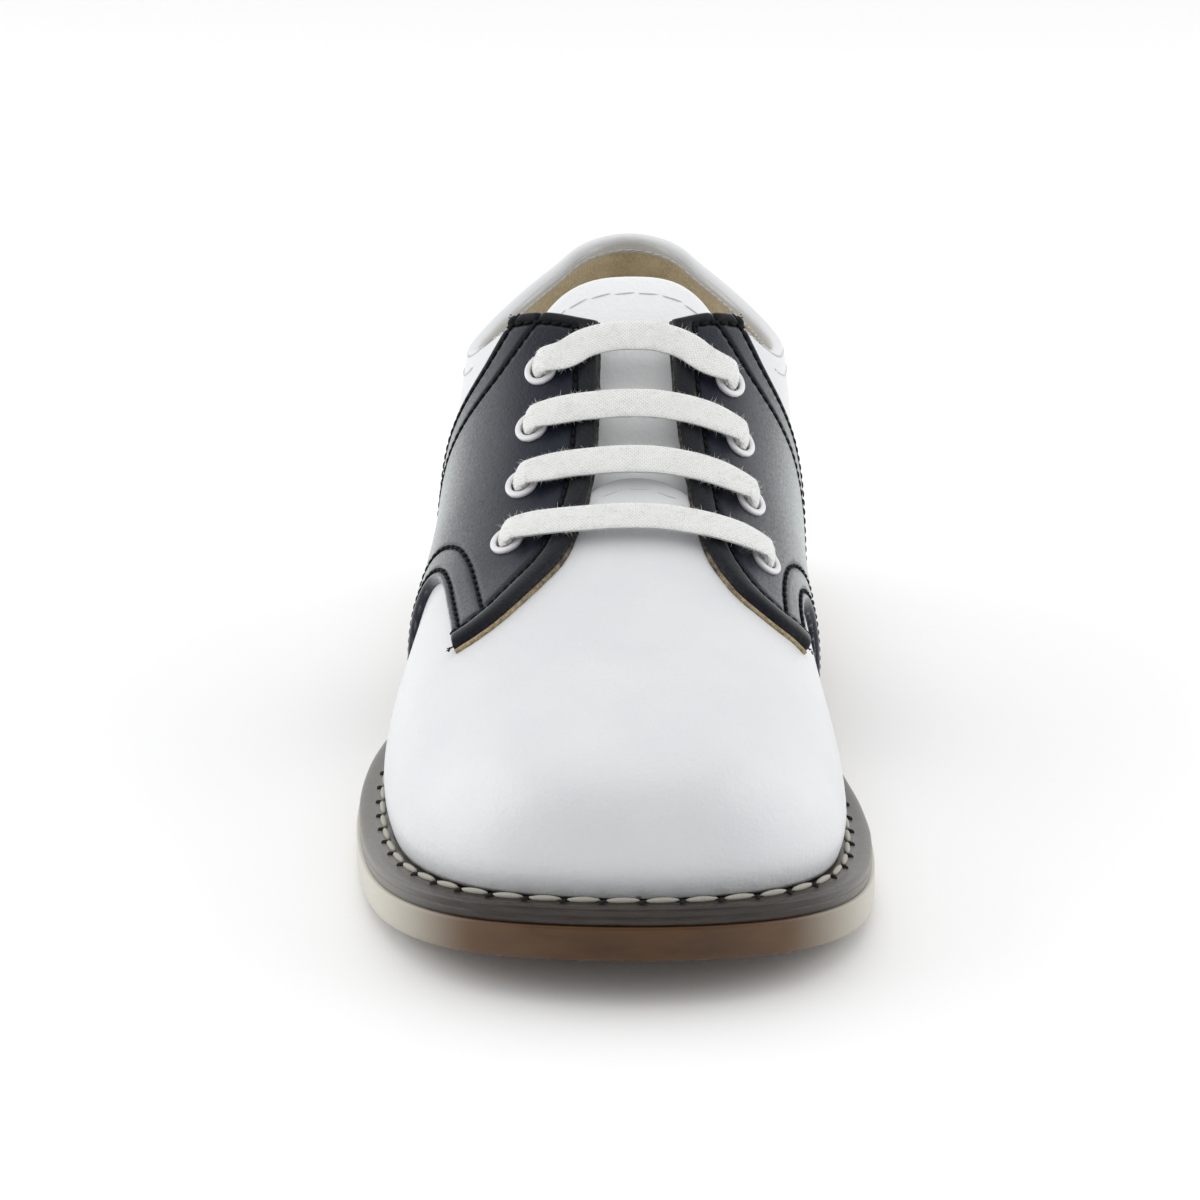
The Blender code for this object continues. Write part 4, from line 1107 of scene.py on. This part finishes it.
def saddle_seams(side):
    """The threads' paths on one half of the saddle, cut off where they would cross another border."""
    lines = dict(zip(("top", "throat", "arch", "rear"), saddle_lines(side)))
    outlines = {name: points_of(spaced(line, side, 320), side) for name, line in lines.items()}
    middle = saddle_middle(side)
    rows = (
        ("throat", THROAT_SEAM, {"top": 0.4 * MM, "arch": 0.4 * MM}),
        ("top", TOP_SEAM, {"throat": THROAT_SEAM, "rear": 1.0 * MM}),
        ("arch", OPEN_SEAMS[0], {"throat": THROAT_SEAM * 0.35}),
        ("arch", OPEN_SEAMS[1], {"throat": THROAT_SEAM}),
        ("rear", OPEN_SEAMS[0], {"top": 0.8 * MM}),
        ("rear", OPEN_SEAMS[1], {"top": TOP_SEAM}),
    )
    paths = []
    for name, distance, limits in rows:
        moved = drawn_in(spaced(lines[name], side, 160), side, distance, middle)
        points = points_of(moved, side)
        inside = nearest(points, outlines[name]) > 0.93 * distance
        for other, limit in limits.items():
            inside &= nearest(points, outlines[other]) > limit
        paths.append(row_of_stitches(moved[inside], side, GAP + SADDLE_THICKNESS - SEAM_GROOVE * 0.2))
    return paths


def make_raw_edge(side, material):
    """The saddle's undyed backing, which shows as a thin tan line beyond its folded front border."""
    line = spaced(saddle_lines(side)[1], side, 260)
    middle = saddle_middle(side)
    wander = np.random.default_rng(3)
    rough = np.convolve(wander.normal(size=300), np.ones(9) / 9, "same")[:260] * 0.16 * MM
    down = np.linspace(0, 1, len(line))
    show = RAW_EDGE_SHOW * (0.45 + 0.55 * smooth_step(2 * down - 0.7))
    under = np.full(len(line), 2.0 * MM)
    rings = []
    for distance, height in ((under, 0.02), (-show, 0.02), (-show, 0.85), (-0.8 * show, 1.0), (under, 1.0)):
        place = drawn_in(line, side, distance, middle, 3)
        out = unit(points_of(place, side) - middle) * (rough * (distance < 0))[:, None]
        rings.append(row_of_stitches(place, side, height * RAW_EDGE_HEIGHT)[0] + out)
    rings.append(rings[0])
    # down_the_front sets where the raw edge's finish paints shade, up the throat.
    attributes = {"down_the_front": np.repeat(down[:, None], len(rings), 1)}
    return joined(f"saddle_backing_{SIDES[side]}", [np.stack(rings, 1)], material, attributes=attributes)


# Tongue, insole and lining.


def tongue_point(along, across_share, deeper):
    """Points of the tongue and their outward directions: across_share runs from -1 to 1 over its width."""
    across = across_share * TONGUE_HALF_WIDTH(along) * BALL_HALF_WIDTH
    side = np.where(across < 0, LATERAL, MEDIAL)
    row = row_at(along)
    point, normal = surface(row, side, climb_across(row, side, across))
    out = -(UPPER_WALL + GAP + TONGUE_CLEARANCE * smooth_step((along - 0.40) / 0.07)) - deeper
    return point + normal * out[..., None], normal


def tongue_top(share):
    flat = (1 - np.abs(share) ** TONGUE_TOP_SQUARE) ** (1 / TONGUE_TOP_SQUARE)
    return TONGUE_TOP - (1 - flat) * TONGUE_TOP_ROUND / LAST_LENGTH


def make_tongue(material):
    """A soft sheet with a rounded top, its rim rolled and its face a little wavy between the facings."""
    share = np.sin(np.linspace(-1, 1, 97) * math.pi / 2)
    up = 1 - (1 - np.linspace(0, 1, 100)) ** 1.15
    s = share[None, :] * np.ones((len(up), 1))
    along = TONGUE_START + (tongue_top(share)[None, :] - TONGUE_START) * up[:, None]
    face = tongue_point(along, s, np.zeros_like(s))[0]
    border = np.concatenate([face[:, 0], face[-1, 1:-1], face[::-1, -1]])
    rim = np.minimum(nearest(face, border) / TONGUE_RIM_ROUND, 1)
    drop = 0.5 * TONGUE_THICKNESS * (1 - np.sqrt(np.maximum(0, 1 - (1 - rim) ** 2)))
    fade = np.exp(-(((along - 0.52) / 0.05) ** 2))
    wave = TONGUE_WAVE * np.sin(along * LAST_LENGTH / TONGUE_WAVE_PITCH + 2.0 * s) * fade
    face = tongue_point(along, s, drop - wave * (rim >= 1))[0]
    back = tongue_point(along, s, TONGUE_THICKNESS - drop)[0]
    return joined("tongue_leather", [face, back] + rims(face, back), material)


def tongue_stitch_path():
    share = np.linspace(-0.90, 0.90, 120)
    along = tongue_top(share * 0.95) - TONGUE_STITCH_INSET / LAST_LENGTH
    return tongue_point(along, share, np.full(share.shape, -0.02 * MM))


def make_lining(material):
    """The tan lining inside the quarters, from under the collar's band down to the insole."""
    rows = np.linspace(float(row_at(LINING_START)), HEEL_ROW, 110)
    grids = []
    for side in SIDES:
        is_front = rows < row_at(VAMP_EDGE_ALONG)
        top = np.where(is_front, LINING_FRONT_TOP, free_edge_climb(rows, side))
        start = top - (BAND_DEPTH - 0.4 * MM) / edge_steps(rows, side, top)[2]
        climb = start[:, None] * np.linspace(1, 0.0, 40)[None, :]
        depth = np.full(climb.shape, -(UPPER_WALL + LINING_DEPTH))
        face = shell_point(rows[:, None], side, climb, depth)
        back = shell_point(rows[:, None], side, climb, depth + 0.2 * MM)
        grids += [face, back] + rims(face, back, (RIMS[0], RIMS[2], RIMS[3]))
    return joined("quarter_lining", grids, material)


def toe_to_heel(start, end, count):
    """Distances from toe to heel, closer together at both ends."""
    return start + (end - start) * (1 - np.cos(math.pi * np.linspace(0, 1, count))) / 2


def plate(name, levels, material, marks=()):
    """A plate with the sole's outline: each level has an outset and a height over a base, both in mm."""
    loops = {side: [] for side in SIDES}
    for outset, base, above in levels:
        halves = {side: sole_half(side, outset * MM) for side in SIDES}
        lateral = halves[LATERAL][0]
        y = np.sort(np.concatenate([toe_to_heel(lateral[0], lateral[-1], 261), marks]))
        for side, (at, across) in halves.items():
            loops[side].append(np.stack([np.interp(y, at, across), y, base(y) + above * MM], -1))
    return joined(name, [np.stack(loops[LATERAL] + loops[MEDIAL][::-1], 1)], material, closed=True)


def midsole_top(y):
    return feather_height(y / LAST_LENGTH) - GAP


def midsole_bottom(y):
    return midsole_top(y) - MIDSOLE_THICKNESS


def outsole_bottom(y):
    """Flat under the forefoot and the heel, hollow between them and sprung at the toe."""
    hollow = np.maximum(midsole_bottom(y) - GAP - OUTSOLE_THICKNESS, 0.0)
    return hollow * (1 - np.clip((y - BREAST * LAST_LENGTH) / HEEL_BREAST_RUN, 0.0, 1.0))


def outsole_middle(y):
    return 0.5 * (midsole_bottom(y) + outsole_bottom(y))


def make_welt(material):
    """The welt and midsole: a flat top, a rubbed rim and a fine line along the side."""
    levels = (
        (-5.5, midsole_top, 0.1),
        (-3.3, midsole_top, 0.02),
        (-2.9, midsole_top, -0.10),
        (-2.3, midsole_top, -0.02),
        (-1.4, midsole_top, 0.04),
        (-0.90, midsole_top, -0.02),
        (-0.62, midsole_top, -0.18),
        (-0.50, midsole_top, -0.50),
        (-0.48, midsole_top, -1.20),
        (-0.60, midsole_top, -1.34),
        (-0.48, midsole_top, -1.48),
        (-0.48, midsole_bottom, 0.10),
        (-0.64, midsole_bottom, -0.12),
        (-5.5, midsole_bottom, -0.12),
    )
    return plate("welt_and_midsole", levels, material)


def make_outsole(material):
    """The rubber outsole with its low heel, its side slightly bellied and its lower edge rounded."""
    levels = (
        (-3.0, midsole_bottom, -0.05),
        (-0.22, midsole_bottom, -0.05),
        (-0.05, midsole_bottom, -0.20),
        (0.0, midsole_bottom, -0.55),
        (0.05, outsole_middle, 0.0),
        (0.0, outsole_bottom, 1.2),
        (-0.12, outsole_bottom, 0.55),
        (-0.38, outsole_bottom, 0.16),
        (-0.80, outsole_bottom, 0.0),
    )
    breast = BREAST * LAST_LENGTH
    marks = np.linspace(breast - 0.1 * MM, breast + HEEL_BREAST_RUN, 7)
    return plate("rubber_outsole", levels, material, marks)


def make_insole(material):
    """The sock lining on the insole, a little cupped at its rim."""
    inset = -(FEATHER_TUCK + UPPER_WALL + 2 * GAP)
    loops = {side: [] for side in SIDES}
    for outset, above in INSOLE_RINGS:
        for side in SIDES:
            y, x = outline(np.linspace(0, HEEL_ROW, 400), side, inset + outset * MM)
            at = toe_to_heel(y[0], y[-1], 200)
            height = feather_height(at / LAST_LENGTH) + above * MM
            loops[side].append(np.stack([np.interp(at, y, x), at, height], -1))
    return joined("sock_lining", [np.stack(loops[LATERAL] + loops[MEDIAL][::-1], 1)], material, closed=True)


# Eyelets and lace.


def eyelet_places(side):
    for along, across, _ in EYELET_TABLE:
        yield along, side * across * BALL_HALF_WIDTH


def make_eyelets(material):
    """Flanged rings with soft rims, each seated on the saddle."""
    seat = GAP + SADDLE_THICKNESS - 0.05 * MM
    hole = EYELET_HOLE_RADIUS
    barrel = hole + EYELET_BARREL_WALL
    rim = barrel + EYELET_FLANGE_WIDTH
    top = seat + EYELET_RISE
    profile = [(hole, -UPPER_WALL), (hole, seat), (hole + 0.04 * MM, top - 0.35 * MM)]
    for k in range(7):
        turn = math.pi * (1 - k / 6)
        radius = (hole + rim) / 2 + (rim - hole) / 2 * math.cos(turn)
        profile.append((radius, top - EYELET_BEAD + EYELET_BEAD * math.sin(turn)))
    profile += [(rim, seat), (barrel, seat), (barrel, -UPPER_WALL), profile[0]]
    turns = np.linspace(0, 2 * math.pi, 49)[:, None]
    grids = []
    for side in SIDES:
        for along, across in eyelet_places(side):
            point, normal, heelward, medial = surface_frame(along, across)
            around = np.cos(turns) * heelward + np.sin(turns) * medial
            ring = [point + around * radius + normal * height for radius, height in profile]
            grids.append(np.stack(ring, 0))
    return joined("eyelet_rings", grids, material)


def lace_rings():
    """The lace's sections in order: centre, width direction, half width and half thickness."""
    flat, thin = LACE_WIDTH / 2, LACE_THICKNESS / 2
    narrow = LACE_RUN_WIDTH / 2
    tight = EYELET_HOLE_RADIUS - 1.2 * GAP
    above = 2 * GAP + SADDLE_THICKNESS + EYELET_FLANGE_HEIGHT
    rings = []

    def hole(along, across, way, heel_way):
        """From the bar's end down through an eyelet to the start of the run under the facing."""
        point, normal, heelward, medial = surface_frame(along, across)
        inwards = medial * (-1 if across > 0 else 1)
        part = []
        for degrees in (90, 60, 30):
            turn = math.radians(degrees)
            grow = math.sin(turn)
            centre = point + inwards * LACE_BEND * (1 - math.cos(turn))
            centre = centre + normal * (above - LACE_DIP + LACE_BEND * grow)
            width = tight + (flat - tight) * grow**2 * 0.8
            part.append((centre, heelward, width, tight + (thin - tight) * grow))
        for k in range(4):
            drop = above - LACE_DIP - (above + UPPER_WALL - 1.0 * MM) * k / 3
            turn = math.radians(90 * k / 3)
            hint = heelward * math.cos(turn) + medial * math.sin(turn)
            part.append((point + normal * drop, hint, tight, tight))
        for degrees in (30, 60, 90) if heel_way else ():
            turn = math.radians(degrees)
            grow = math.sin(turn)
            centre = point + heelward * heel_way * LACE_BEND * (1 - math.cos(turn))
            centre = centre + normal * (LACE_CLEARANCE - UPPER_WALL - LACE_BEND * grow)
            width = tight + (narrow - tight) * grow
            part.append((centre, medial, width, tight + (thin - tight) * grow))
        if not heel_way:
            part.append((point - normal * (UPPER_WALL + 0.6 * MM), medial, tight, tight))
        rings.extend(part if way > 0 else part[::-1])

    def bar(number, direction):
        """Across the tongue, from facing to facing."""
        along, reach, bow = EYELET_TABLE[number]
        span = reach * BALL_HALF_WIDTH - LACE_BEND - 2.2 * MM
        for k in range(9):
            across = direction * span * (2 * k / 8 - 1)
            near = abs(across) / span
            point, normal, heelward, _ = surface_frame(along + bow * (1 - near**3), across)
            lift = 2 * GAP + SADDLE_THICKNESS + thin
            lift = lift + LACE_BAR_LIFT * float(smooth_step((near - 0.55) / 0.45))
            rings.append((point + normal * lift, heelward, flat, thin))

    def under(along, across):
        """A section of a run under a facing."""
        point, normal, _, medial = surface_frame(along, across)
        rings.append((point - normal * (UPPER_WALL - LACE_CLEARANCE + LACE_BEND), medial, narrow, thin))

    left = list(eyelet_places(LATERAL))
    right = list(eyelet_places(MEDIAL))
    beside = LACE_RUN_WIDTH + 2.5 * GAP
    top, bottom = left[3], left[0]
    for share in (0.94, 0.76, 0.58, 0.40, 0.24):
        across = bottom[1] + (top[1] - bottom[1]) * share - beside * float(smooth_step(share / 0.36))
        under(bottom[0] + (top[0] - bottom[0]) * share, across)
    for number, (start, end, direction) in enumerate(((left, right, 1), (right, left, -1)) * 2):
        hole(*start[number], -1, -1 if number else 1)
        bar(number, direction)
        hole(*end[number], 1, 1 if number < 3 else 0)
        for share in (0.25, 0.5, 0.75) if number < 3 else ():
            here, there = end[number], end[number + 1]
            under(*(here[i] + (there[i] - here[i]) * share for i in (0, 1)))
    return rings


def make_lace(material):
    """The flat woven lace, with soft rounded sides."""
    rings = lace_rings()
    before, rows = None, []
    for i, (centre, hint, width, thickness) in enumerate(rings):
        tangent = unit(rings[min(i + 1, len(rings) - 1)][0] - rings[max(i - 1, 0)][0])
        across = unit(hint - tangent * np.dot(hint, tangent))
        if before is not None and np.dot(across, before) < 0:
            across = -across
        before = across
        rows.append(np.concatenate([centre, across, [width, thickness]]))
    fine = rounded_path(np.array(rows), 5)
    centre, across = fine[:, :3], fine[:, 3:6]
    tangent = unit(np.gradient(centre, axis=0))
    across = unit(across - tangent * (across * tangent).sum(1, keepdims=True))
    upright = np.cross(tangent, across)
    count = 28
    turns = (np.arange(count) + 0.5) / count * 2 * math.pi
    a, b = (np.sign(part) * np.abs(part) ** 0.75 for part in (np.cos(turns), np.sin(turns)))
    grid = centre[:, None] + across[:, None] * (fine[:, 6:7] * a)[..., None]
    grid = grid + upright[:, None] * (fine[:, 7:8] * b)[..., None]
    along = running_length(centre)[:, None] * np.ones((1, count))
    around = (fine[:, 6:7] * a) * np.where(b > 0, 1, -1)
    last = (len(fine) - 1) * count
    caps = [list(range(count))[::-1], list(range(last, last + count))]
    attributes = {"lace_along": along, "lace_around": around}
    return joined("lace_cotton", [grid], material, closed=True, attributes=attributes, extra=caps)


# The studio.


def aim(thing, target):
    thing.rotation_euler = (Vector(target) - thing.location).to_track_quat("-Z", "Y").to_euler()


def softbox(name, place, size, power):
    """A soft light that is aimed at the shoe."""
    light = bpy.data.lights.new(name, "AREA")
    light.shape = "RECTANGLE"
    light.size, light.size_y = size
    light.energy = power
    thing = linked(name, light)
    thing.location = place
    aim(thing, (0, 0, 0.03))


def make_surroundings():
    """White walls all round, except the dark end of the room in front of the toe."""
    world = bpy.data.worlds.new("studio_room")
    world.use_nodes = True
    bpy.context.scene.world = world
    tree = world.node_tree
    direction = new_node(tree, "ShaderNodeTexCoord").outputs["Generated"]
    ahead = new_node(tree, "ShaderNodeSeparateXYZ", {}, {"Vector": direction}).outputs["Y"]
    levels = {"Value": ahead, "From Min": -0.95, "From Max": -0.30, "To Min": DARK_WALL, "To Max": WHITE_WALL}
    wall = new_node(tree, "ShaderNodeMapRange", {"interpolation_type": "SMOOTHSTEP"}, levels)
    background = tree.nodes["Background"].inputs
    background["Color"].default_value = (1.0, 1.0, 1.0, 1.0)
    tree.links.new(wall.outputs["Result"], background["Strength"])


def make_studio():
    """A pale floor, soft boxes above and beside the shoe, and the photograph's camera."""
    floor_mesh = bpy.data.meshes.new("floor")
    reach = 3.0
    corners = [(-reach, -reach, 0), (reach, -reach, 0), (reach, reach, 0), (-reach, reach, 0)]
    floor_mesh.from_pydata(corners, [], [(0, 1, 2, 3)])
    floor_mesh.materials.append(plain_finish("pale_floor", (0.93, 0.93, 0.93), 0.8))
    linked("floor", floor_mesh)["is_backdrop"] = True
    bpy.context.scene.view_settings.view_transform = "Standard"
    make_surroundings()
    softbox("box_top", (0.0, 0.15, 0.9), (0.9, 0.9), 1.3)
    softbox("box_left", (-0.8, 0.05, 0.35), (0.9, 0.7), 2.8)
    softbox("box_right", (0.8, 0.05, 0.35), (0.9, 0.7), 2.4)
    lens = bpy.data.cameras.new("camera")
    lens.sensor_width = SENSOR_WIDTH
    lens.lens = FOCAL_PIXELS / PICTURE_PIXELS * SENSOR_WIDTH
    lens.shift_x, lens.shift_y = (pixels / PICTURE_PIXELS for pixels in SHIFT_PIXELS)
    camera = linked("camera", lens)
    tilt = math.radians(CAMERA_ELEVATION)
    away = Vector((0, -math.cos(tilt), math.sin(tilt))) * CAMERA_DISTANCE
    camera.location = Vector(CAMERA_AIM) + away
    aim(camera, CAMERA_AIM)
    bpy.context.scene.camera = camera


# Rows of stitches.


def vamp_edge_stitches():
    points, ups = [], []
    for s in np.linspace(-0.95, 0.95, 60):
        side = LATERAL if s < 0 else MEDIAL
        reach = np.interp(VAMP_EDGE_ALONG, *np.array(THROAT_TABLES[side][::-1]).T)
        across = s * reach * BALL_HALF_WIDTH
        along = VAMP_EDGE_ALONG + (VAMP_EDGE_ARC * (1 - s * s) - VAMP_STITCH_INSET) / LAST_LENGTH
        point, normal, _, _ = surface_frame(along, across if across else 1e-5)
        points.append(point + normal * 0.02 * MM)
        ups.append(normal)
    return np.array(points), np.array(ups)


def collar_stitches(side, below, out):
    """A path under the collar's edge, on the outside or, where out is negative, on the inside."""
    rows = np.linspace(float(row_at(COLLAR_STITCH_START)), HEEL_ROW - 0.02, 170)
    top = collar_climb(rows, side)
    climb = top - below / edge_steps(rows, side, top)[2]
    point, normal = surface(rows, side, climb)
    return point + normal * out, normal * (1 if out > 0 else -1)


def welt_stitches(inset, height, late=0.0):
    """A path round the welt's top, beside the upper, cut short by a share of a pitch at both ends."""
    paths = []
    for side in SIDES:
        y, x = outline(np.linspace(0.0, HEEL_ROW, 900), side, inset)
        points = np.stack([x, y, midsole_top(y) + height], -1)
        paths.append(points if side > 0 else points[::-1])
    ring = np.vstack([paths[0], paths[1][1:]])
    length = running_length(ring)
    pitch = length[-1] / WELT_STITCH_COUNT
    ring = resampled(ring, length, np.linspace(late * pitch, length[-1] - late * pitch, 1400))
    return ring, np.tile([0.0, 0.0, 1.0], (len(ring), 1)), 0.9999 * pitch


def loose_ends():
    """Short thread ends at the corners where the saddle's seams stop."""
    paths = []
    for side in SIDES:
        top, throat, _, _ = saddle_lines(side)
        for line, back in ((throat, 120), (top, 60)):
            points, normals = row_of_stitches(line[[-back, -1]], side, GAP + 0.6 * SADDLE_THICKNESS)
            away = unit(points[1] - points[0])
            for lean in (-0.6, 0.1, 0.8):
                way = unit(away + lean * np.cross(normals[1], away))
                paths.append((np.stack([points[1], points[1] + way * LOOSE_END]), normals[[1, 1]]))
    return paths


def main():
    make_studio()
    white = white_leather_finish()
    navy = navy_leather_finish()
    lining = lining_finish()
    keep(make_upper(white), "white_leather", "upper")
    for side in SIDES:
        keep(make_saddle(side, navy), "navy_leather", f"saddle_{SIDES[side]}")
        keep(make_raw_edge(side, raw_edge_finish()), "lining_leather")
    keep(make_tongue(tongue_leather_finish()), "tongue_leather", "tongue")
    keep(make_lining(lining), "lining_leather")
    keep(make_insole(lining), "lining_leather", "insole")
    keep(make_welt(welt_finish()), "dark_welt", "midsole")
    keep(make_outsole(gum_rubber_finish()), "gum_rubber", "outsole")
    keep(make_eyelets(eyelet_finish()), "white_plastic", *(f"eyelet_{k}" for k in range(1, 9)))
    cotton = cotton_finish()
    lace = make_lace(cotton)
    keep(lace, "white_cotton", "lace")
    fuzz = thread_finish("cotton_fuzz", (0.90, 0.90, 0.88))
    keep(grown("lace_fuzz", lace.data.copy(), FUZZ, fuzz, {}), "white_cotton")
    dark_thread = thread_finish("navy_thread", (0.003, 0.0035, 0.006))
    edge_thread = thread_finish("collar_thread", (0.74, 0.74, 0.73))
    pale_thread = thread_finish("white_thread", (0.78, 0.765, 0.73))
    welt_thread = thread_finish("welt_thread", (0.50, 0.48, 0.42))
    paths = saddle_seams(LATERAL) + saddle_seams(MEDIAL)
    keep(stitched("saddle_stitches", paths, dark_thread), "navy_leather")
    collar_rows = [collar_stitches(side, COLLAR_STITCH_INSET, 0.03 * MM) for side in SIDES]
    inside = -UPPER_WALL - BAND_THICKNESS
    collar_rows += [collar_stitches(side, BAND_DEPTH - 0.5 * MM, inside) for side in SIDES]
    keep(stitched("collar_stitches", collar_rows, edge_thread, Width=0.34 * MM), "white_leather")
    long_stitch = {"Pitch": 3.6 * MM, "Length": 3.4 * MM, "Width": 0.32 * MM, "Slant": 0.07}
    long_rows = [vamp_edge_stitches(), tongue_stitch_path()]
    keep(stitched("tongue_and_vamp_stitches", long_rows, pale_thread, **long_stitch), "white_leather")
    ring, up, pitch = welt_stitches(-0.05 * MM, 0.26 * MM)
    sizes = {"Pitch": pitch, "Length": WELT_STITCH_LENGTH, "Width": WELT_STITCH_WIDTH, "Slant": 0.05}
    keep(stitched("welt_stitches", [(ring, up)], welt_thread, **sizes), "white_cotton")
    # Painted shade: dark flat marks on the welt's top, between the stitches, stand in for the shade inside
    # the awl holes.
    dark_hole = plain_finish("awl_hole_painted_shade", (0.004, 0.0035, 0.003), 0.9)
    ring, up, pitch = welt_stitches(0.45 * MM, 0.0, 0.5)
    sizes = {"Pitch": pitch, "Length": WELT_HOLE[0], "Width": WELT_HOLE[1], "Slant": 0.9}
    keep(stitched("welt_holes", [(ring, up)], dark_hole, **sizes), "dark_welt")
    sizes = {"Pitch": 0.5 * LOOSE_END, "Length": 0.7 * LOOSE_END, "Width": 0.2 * MM, "Slant": 0.0}
    keep(stitched("loose_thread_ends", loose_ends(), dark_thread, **sizes), "navy_leather")


main()
boxes = {"cad": CAD_BOX, "visual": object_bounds()}
boxes = {name: [[float(v) for v in corner] for corner in box] for name, box in boxes.items()}
